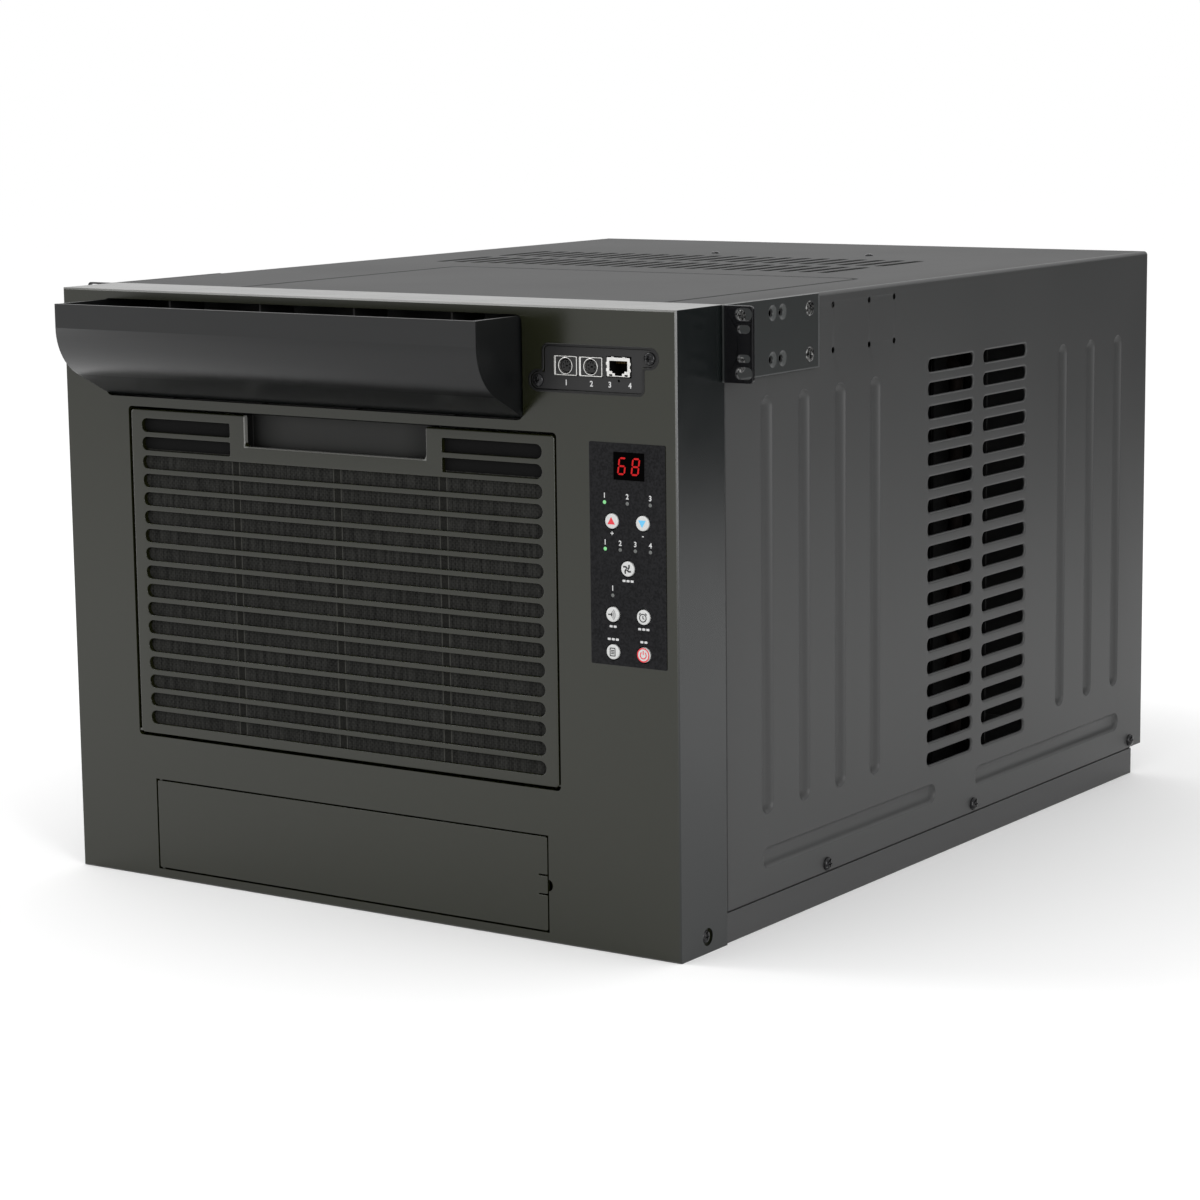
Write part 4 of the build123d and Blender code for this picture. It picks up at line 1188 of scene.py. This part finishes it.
# Network jack: a tinned shield folded round a black insulator with eight gilt contacts.
# Small spring fingers along the shield's rim press on the port plate.
jack_low, jack_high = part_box("network_jack")
jack_middle = (jack_low + jack_high) / 2
jack_half_x = (jack_high.x - jack_low.x) / 2 / mm
jack_half_z = (jack_high.z - jack_low.z) / 2 / mm
jack_place = on_front(jack_middle.x, jack_middle.z, face_y - jack_low.y)
mouth = rounded_path(scaled([
    (-2.3, -4.6, 0.2), (2.3, -4.6, 0.2), (2.3, -3.3, 0.2), (3.9, -3.3, 0.2), (3.9, -2.2, 0.2), (5.8, -2.2, 0.3),
    (5.8, 3.3, 0.3), (-5.8, 3.3, 0.3), (-5.8, -2.2, 0.3), (-3.9, -2.2, 0.2), (-3.9, -3.3, 0.2),
    (-2.3, -3.3, 0.2)]), 2)
parts = bmesh.new()
shield_line = rounded_box(-(jack_half_x - 0.5) * mm, (jack_half_x - 0.5) * mm, -(jack_half_z - 0.4) * mm,
                          (jack_half_z - 0.4) * mm, 0.5 * mm)
light_windows = [rounded_box(x0 * mm, x1 * mm, -4.9 * mm, -3.9 * mm, 0.2 * mm, 2)
                 for x0, x1 in ((-6.0, -3.9), (3.9, 6.0))]
plate(parts, shield_line, [mouth] + light_windows, 0.5 * mm, 0.15 * mm)
finger_size = 0.9
fingers = [(way * (jack_half_x - 0.55), z, 0.55, finger_size) for way in (-1, 1) for z in (1.8, -1.6)]
fingers += [(x, jack_half_z - 0.45, finger_size, 0.45) for x in (-3.6, 3.6)]
for x, z, wide, tall in fingers:
    finger = rounded_box((x - wide) * mm, (x + wide) * mm, (z - tall) * mm, (z + tall) * mm, 0.3 * mm, 3)
    plate(parts, finger, [], 0.6 * mm, 0.2 * mm, 0.12 * mm)
shield = mesh_piece("jack_shield_face", parts, jack_shield, "unit", jack_place)
smooth_piece(shield)
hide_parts("network_jack")
parts = bmesh.new()
plate(parts, grow(shield_line, -0.3 * mm), [grow(mouth, 0.02 * mm)], 11.0 * mm, 0.05 * mm, -0.5 * mm)
prism(parts, grow(shield_line, -0.3 * mm), -11.4 * mm, -12.2 * mm)
smooth_piece(mesh_piece("jack_insulator", parts, pit_black, "unit", jack_place))
gilt, shader, place = new_finish("gilt_contact")
polish = place.noise(900.0, detail=2.0)
settle(shader, Base_Color=polish.between(rgb(0.04, 0.026, 0.010), rgb(0.06, 0.04, 0.016)),
       Metallic=1.0, Roughness=0.3 + polish * 0.1)
parts = bmesh.new()
contact_count, contact_pitch = 8, 1.02
for i in range(contact_count):
    x = (i - (contact_count - 1) / 2) * contact_pitch
    contact = rounded_box((x - 0.2) * mm, (x + 0.2) * mm, 1.6 * mm, 2.9 * mm, 0.1 * mm, 2)
    prism(parts, contact, -4.0 * mm, -10.9 * mm)
mesh_piece("jack_contacts", parts, gilt, "unit", jack_place)

# Control panel: a thin textured film stuck over the keypad, cut out round each button.
# Plain white numbers and bars are printed on it beside the lights and buttons.
overlay_film, shader, place = new_finish("overlay_film")
grain = place.noise(900.0, detail=2.0).step(0.3, 0.7)
cloud = place.noise(25.0, detail=3.0)
tone = grain * 0.75 + cloud * 0.25
settle(shader, Base_Color=tone.between(rgb(0.0030, 0.0030, 0.0036), rgb(0.0175, 0.0175, 0.019)),
       Roughness=0.6 + (grain - 0.5) * 0.15, Normal=grain.bump(0.35, 0.04 * mm), Specular_IOR_Level=0.1)
film_low, film_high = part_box("control_overlay")
film_out = face_y - film_low.y
left_column, middle_column, right_column = 176.4, 186.4, 196.2
button_places = {
    "warmer": (left_column, 239.8), "cooler": (right_column, 239.8), "speed": (middle_column, 214.5),
    "quiet": (left_column, 189.0), "timer": (right_column, 189.0),
    "function": (left_column, 168.5), "power": (right_column, 168.5)}
button_hole_radius = 4.7
parts = bmesh.new()
film_line = rounded_box(film_low.x, film_high.x, film_low.z, film_high.z, 0.8 * mm)
holes = [circle(x * mm, z * mm, button_hole_radius * mm, 40) for x, z in button_places.values()]
plate(parts, film_line, holes, film_out, 0.12 * mm)
film = mesh_piece("keypad_film", parts, overlay_film, "unit", on_front(0, 0, film_out))
smooth_piece(film)
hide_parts("control_overlay")
mode_lights = [(x, 249.8) for x in (171.7, 186.4, 201.1)]
speed_lights = [(186.4 + (i - 1.5) * 9.7, 224.5) for i in range(4)]
quiet_lights = [(176.4, 199.4)]
marks = [(str(i + 1), x, z + 3.6) for i, (x, z) in enumerate(mode_lights)]
marks += [(str(i + 1), x, z + 3.5) for i, (x, z) in enumerate(speed_lights)]
marks += [("1", 176.4, 203.2), ("+", 176.4, 233.0), ("-", 196.2, 233.0)]
number_size = 3.9 * mm
number_parts = printed(marks, number_size, film_out)
bar_height, bar_width, bar_gap = 0.6, 1.9, 2.6
bar_rows = ((middle_column, 207.9, 3), (left_column, 182.4, 2), (right_column, 182.4, 3),
            (left_column, 175.4, 3), (right_column, 175.4, 2))
bars = bmesh.new()
for x, z, count in bar_rows:
    for i in range(count):
        middle = x + (i - (count - 1) / 2) * bar_gap
        bar = rounded_box((middle - bar_width / 2) * mm, (middle + bar_width / 2) * mm,
                          (z - bar_height) * mm, (z + bar_height) * mm, 0.2 * mm, 2)
        prism(bars, bar, 0.03 * mm, 0.0)
mesh_piece("keypad_numbers", number_parts, white_print, "unit")
mesh_piece("keypad_bars", bars, white_print, "unit", on_front(0, 0, film_out))

# Display: a smoked window with two seven-segment digits lit in red behind it.
# The digits lean a little to the right and show a plain number.
display_lens, shader, place = new_finish("display_lens")
haze = place.noise(30.0, detail=2.0)
settle(shader, Base_Color=haze.between(grey(0.0003), rgb(0.0006, 0.0005, 0.0005)),
       Roughness=0.45 + haze * 0.05, Specular_IOR_Level=0.01)
dress("display_window", display_lens, 0.08 * mm)
red_segment, shader, place = new_finish("red_segment")
core_glow = place.noise(1500.0, detail=1.0)
settle(shader, Base_Color=core_glow.between(rgb(0.16, 0.006, 0.007), rgb(0.22, 0.009, 0.009)), Roughness=0.5,
       Emission_Color=core_glow.between(rgb(0.55, 0.012, 0.015), rgb(0.75, 0.020, 0.022)), Emission_Strength=0.6,
       Specular_IOR_Level=0.05)
window_out = face_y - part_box("display_window")[0].y
digit_width, digit_height = 4.1, 8.6
segment_half = 0.48
segment_gap = 0.25
digit_lean = 0.14
digit_places = (183.3, 192.0)
digit_middle = 269.9
lit_segments = {6: "afgedc", 8: "abcdefg"}
half_w, half_h = digit_width / 2, digit_height / 2
segment_ends = {"a": ((-half_w, half_h), (half_w, half_h)), "b": ((half_w, half_h), (half_w, 0.0)),
                "c": ((half_w, 0.0), (half_w, -half_h)), "d": ((-half_w, -half_h), (half_w, -half_h)),
                "e": ((-half_w, 0.0), (-half_w, -half_h)), "f": ((-half_w, half_h), (-half_w, 0.0)),
                "g": ((-half_w, 0.0), (half_w, 0.0))}
parts = bmesh.new()
for middle, digit in zip(digit_places, (6, 8)):
    for name in lit_segments[digit]:
        start, end = (Vector(point) for point in segment_ends[name])
        way = (end - start).normalized()
        side = Vector((-way.y, way.x)) * segment_half
        start, end = start + way * segment_gap, end - way * segment_gap
        shape = [start, start + way * segment_half - side, end - way * segment_half - side, end,
                 end - way * segment_half + side, start + way * segment_half + side]
        leaning = [Vector(((middle + point.x + digit_lean * point.y) * mm, (digit_middle + point.y) * mm))
                   for point in shape]
        prism(parts, leaning, 0.04 * mm, 0.0)
mesh_piece("display_digits", parts, red_segment, "unit", on_front(0, 0, window_out))

# Indicator lights: small domed lenses that come through the film; the first of each row is lit green.
# The others are unlit and show the pale grey of their diffusers.
dome = [(0, -0.3), (1.05, -0.3), (1.05, 0.0), (0.97, 0.13), (0.75, 0.23), (0.4, 0.29), (0, 0.3)]
grey_lens, shader, place = new_finish("grey_lens")
haze = place.noise(900.0, detail=2.0)
settle(shader, Base_Color=haze.between(rgb(0.11, 0.115, 0.11), rgb(0.15, 0.155, 0.15)), Roughness=0.3 + haze * 0.1)
green_lens, shader, place = new_finish("green_lens")
haze = place.noise(900.0, detail=2.0)
settle(shader, Base_Color=haze.between(rgb(0.16, 0.42, 0.18), rgb(0.20, 0.48, 0.22)), Roughness=0.3 + haze * 0.1,
       Emission_Color=haze.between(rgb(0.10, 0.45, 0.14), rgb(0.16, 0.55, 0.20)), Emission_Strength=0.55)
lit = mode_lights[:1] + speed_lights[:1]
unlit = mode_lights[1:] + speed_lights[1:] + quiet_lights


def lenses(name, places, finish):
    """Small domes on the film, as one piece."""
    domes = copies(turned(in_metres(dome), 24), [on_front(x * mm, z * mm, film_out) for x, z in places])
    piece = mesh_piece(name, domes, finish, "unit")
    smooth_piece(piece)
    return piece


lights = lenses("unlit_lights", unlit, grey_lens)
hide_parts("indicator_lights")
lenses("lit_lights", lit, green_lens)

# Buttons: seven round near-white caps on stems that come through the film and press in a millimetre.
# Each has a plain sign printed on it: triangles, a fan, waves, a clock, a sheet and a power ring.
button_cap, shader, place = new_finish("button_cap")
haze = place.noise(500.0, detail=3.0)
settle(shader, Base_Color=haze.between(rgb(0.62, 0.63, 0.62), rgb(0.70, 0.70, 0.69)), Roughness=0.35 + haze * 0.1)
cap = [(0, -6.0), (3.8, -6.0), (4.1, -5.7), (4.1, 0.75), (4.03, 1.0), (3.8, 1.2), (3.4, 1.3), (0, 1.3)]
cap_height = 1.3 * mm
sign_rise = 0.03 * mm


def sign_ink(name, dark, light):
    material, shader, place = new_finish(name)
    fleck = place.noise(1500.0, detail=2.0)
    settle(shader, Base_Color=fleck.between(rgb(*dark), rgb(*light)), Roughness=0.45 + fleck * 0.1)
    return material


grey_ink = sign_ink("grey_ink", (0.014, 0.0145, 0.015), (0.024, 0.0245, 0.025))
pale_ink = sign_ink("pale_ink", (0.30, 0.30, 0.30), (0.36, 0.36, 0.36))
red_ink = sign_ink("red_ink", (0.70, 0.030, 0.045), (0.78, 0.045, 0.060))
blue_ink = sign_ink("blue_ink", (0.14, 0.55, 0.88), (0.18, 0.60, 0.92))


def ribbon(parts, points, width):
    """A printed stroke of even width along points in millimetres."""
    line = [Vector(point) * mm for point in points]
    left, right = [], []
    for i, here in enumerate(line):
        way = (line[min(i + 1, len(line) - 1)] - line[max(i - 1, 0)]).normalized()
        side = Vector((-way.y, way.x)) * width * mm / 2
        left.append(here + side)
        right.append(here - side)
    prism(parts, right + left[::-1], sign_rise, 0.0)


def arc(x, y, radius, start, end, steps=16):
    turns = [radians(start + (end - start) * i / steps) for i in range(steps + 1)]
    return [(x + radius * cos(turn), y + radius * sin(turn)) for turn in turns]


def fan_blade(base):
    """One curved blade of the fan sign, turned to its place."""
    return [(0.3 * i * cos(base + 0.13 * i), 0.3 * i * sin(base + 0.13 * i)) for i in range(1, 10)]


up_triangle = [[(-2.4, -1.7), (2.4, -1.7), (0.0, 2.4)]]
down_triangle = [[(-2.4, 1.7), (0.0, -2.4), (2.4, 1.7)]]
sheet_lines = [[(-1.0, y), (1.0, y)] for y in (-0.9, 0.0, 0.9)]
sheet_edge = [[(-1.6, z), (1.6, z)] for z in (-2.1, 2.1)]
sheet_edge += [[(x, -2.25), (x, 2.25)] for x in (-1.6, 1.6)]
clock_face = [arc(0, -0.3, 2.1, 0, 180), arc(0, -0.3, 2.1, 180, 360)]
clock_hands = [[(0.0, 0.9), (0.0, -0.5)], [(-0.1, -0.4), (1.0, -0.9)]]
clock_bells = [arc(0, -0.3, 2.95, 35, 62, 5), arc(0, -0.3, 2.95, 118, 145, 5)]
signs = {
    "warmer": [(red_ink, up_triangle, 0)],
    "cooler": [(blue_ink, down_triangle, 0)],
    "speed": [(grey_ink, [fan_blade(pi / 2 * i) for i in range(4)], 1.0)],
    "quiet": [(grey_ink, [[(-2.6, 0.0), (-0.5, 0.0)], arc(-1.6, 0, 1.4, -42, 42)], 0.75),
              (pale_ink, [arc(-1.6, 0, radius, -50, 50) for radius in (2.5, 3.5)], 0.7)],
    "timer": [(grey_ink, clock_face + clock_hands + clock_bells, 0.6)],
    "function": [(grey_ink, sheet_lines + sheet_edge, 0.55)],
    "power": [(red_ink, [arc(0, -0.1, 1.9, 125, 415, 24), [(0.0, 2.4), (0.0, 0.2)]], 0.6),
              (red_ink, [arc(0, 0, 3.6, 0, 180, 24), arc(0, 0, 3.6, 180, 360, 24)], 0.7)],
}
profile = in_metres(cap)
for name, (x, z) in button_places.items():
    cap_place = on_front(x * mm, z * mm)
    piece = mesh_piece(name + "_cap", turned(profile, 48), button_cap, name, cap_place)
    smooth_piece(piece, 50.0)
    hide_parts(name + "_button")
    for i, (ink, strokes, width) in enumerate(signs[name]):
        parts = bmesh.new()
        for points in strokes:
            if width:
                ribbon(parts, points, width)
            else:
                prism(parts, [Vector(point) * mm for point in points], sign_rise, 0.0)
        sign_place = on_front(x * mm, z * mm, cap_height)
        mesh_piece(f"{name}_sign_{i + 1}", parts, ink, name, sign_place)

low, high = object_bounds()
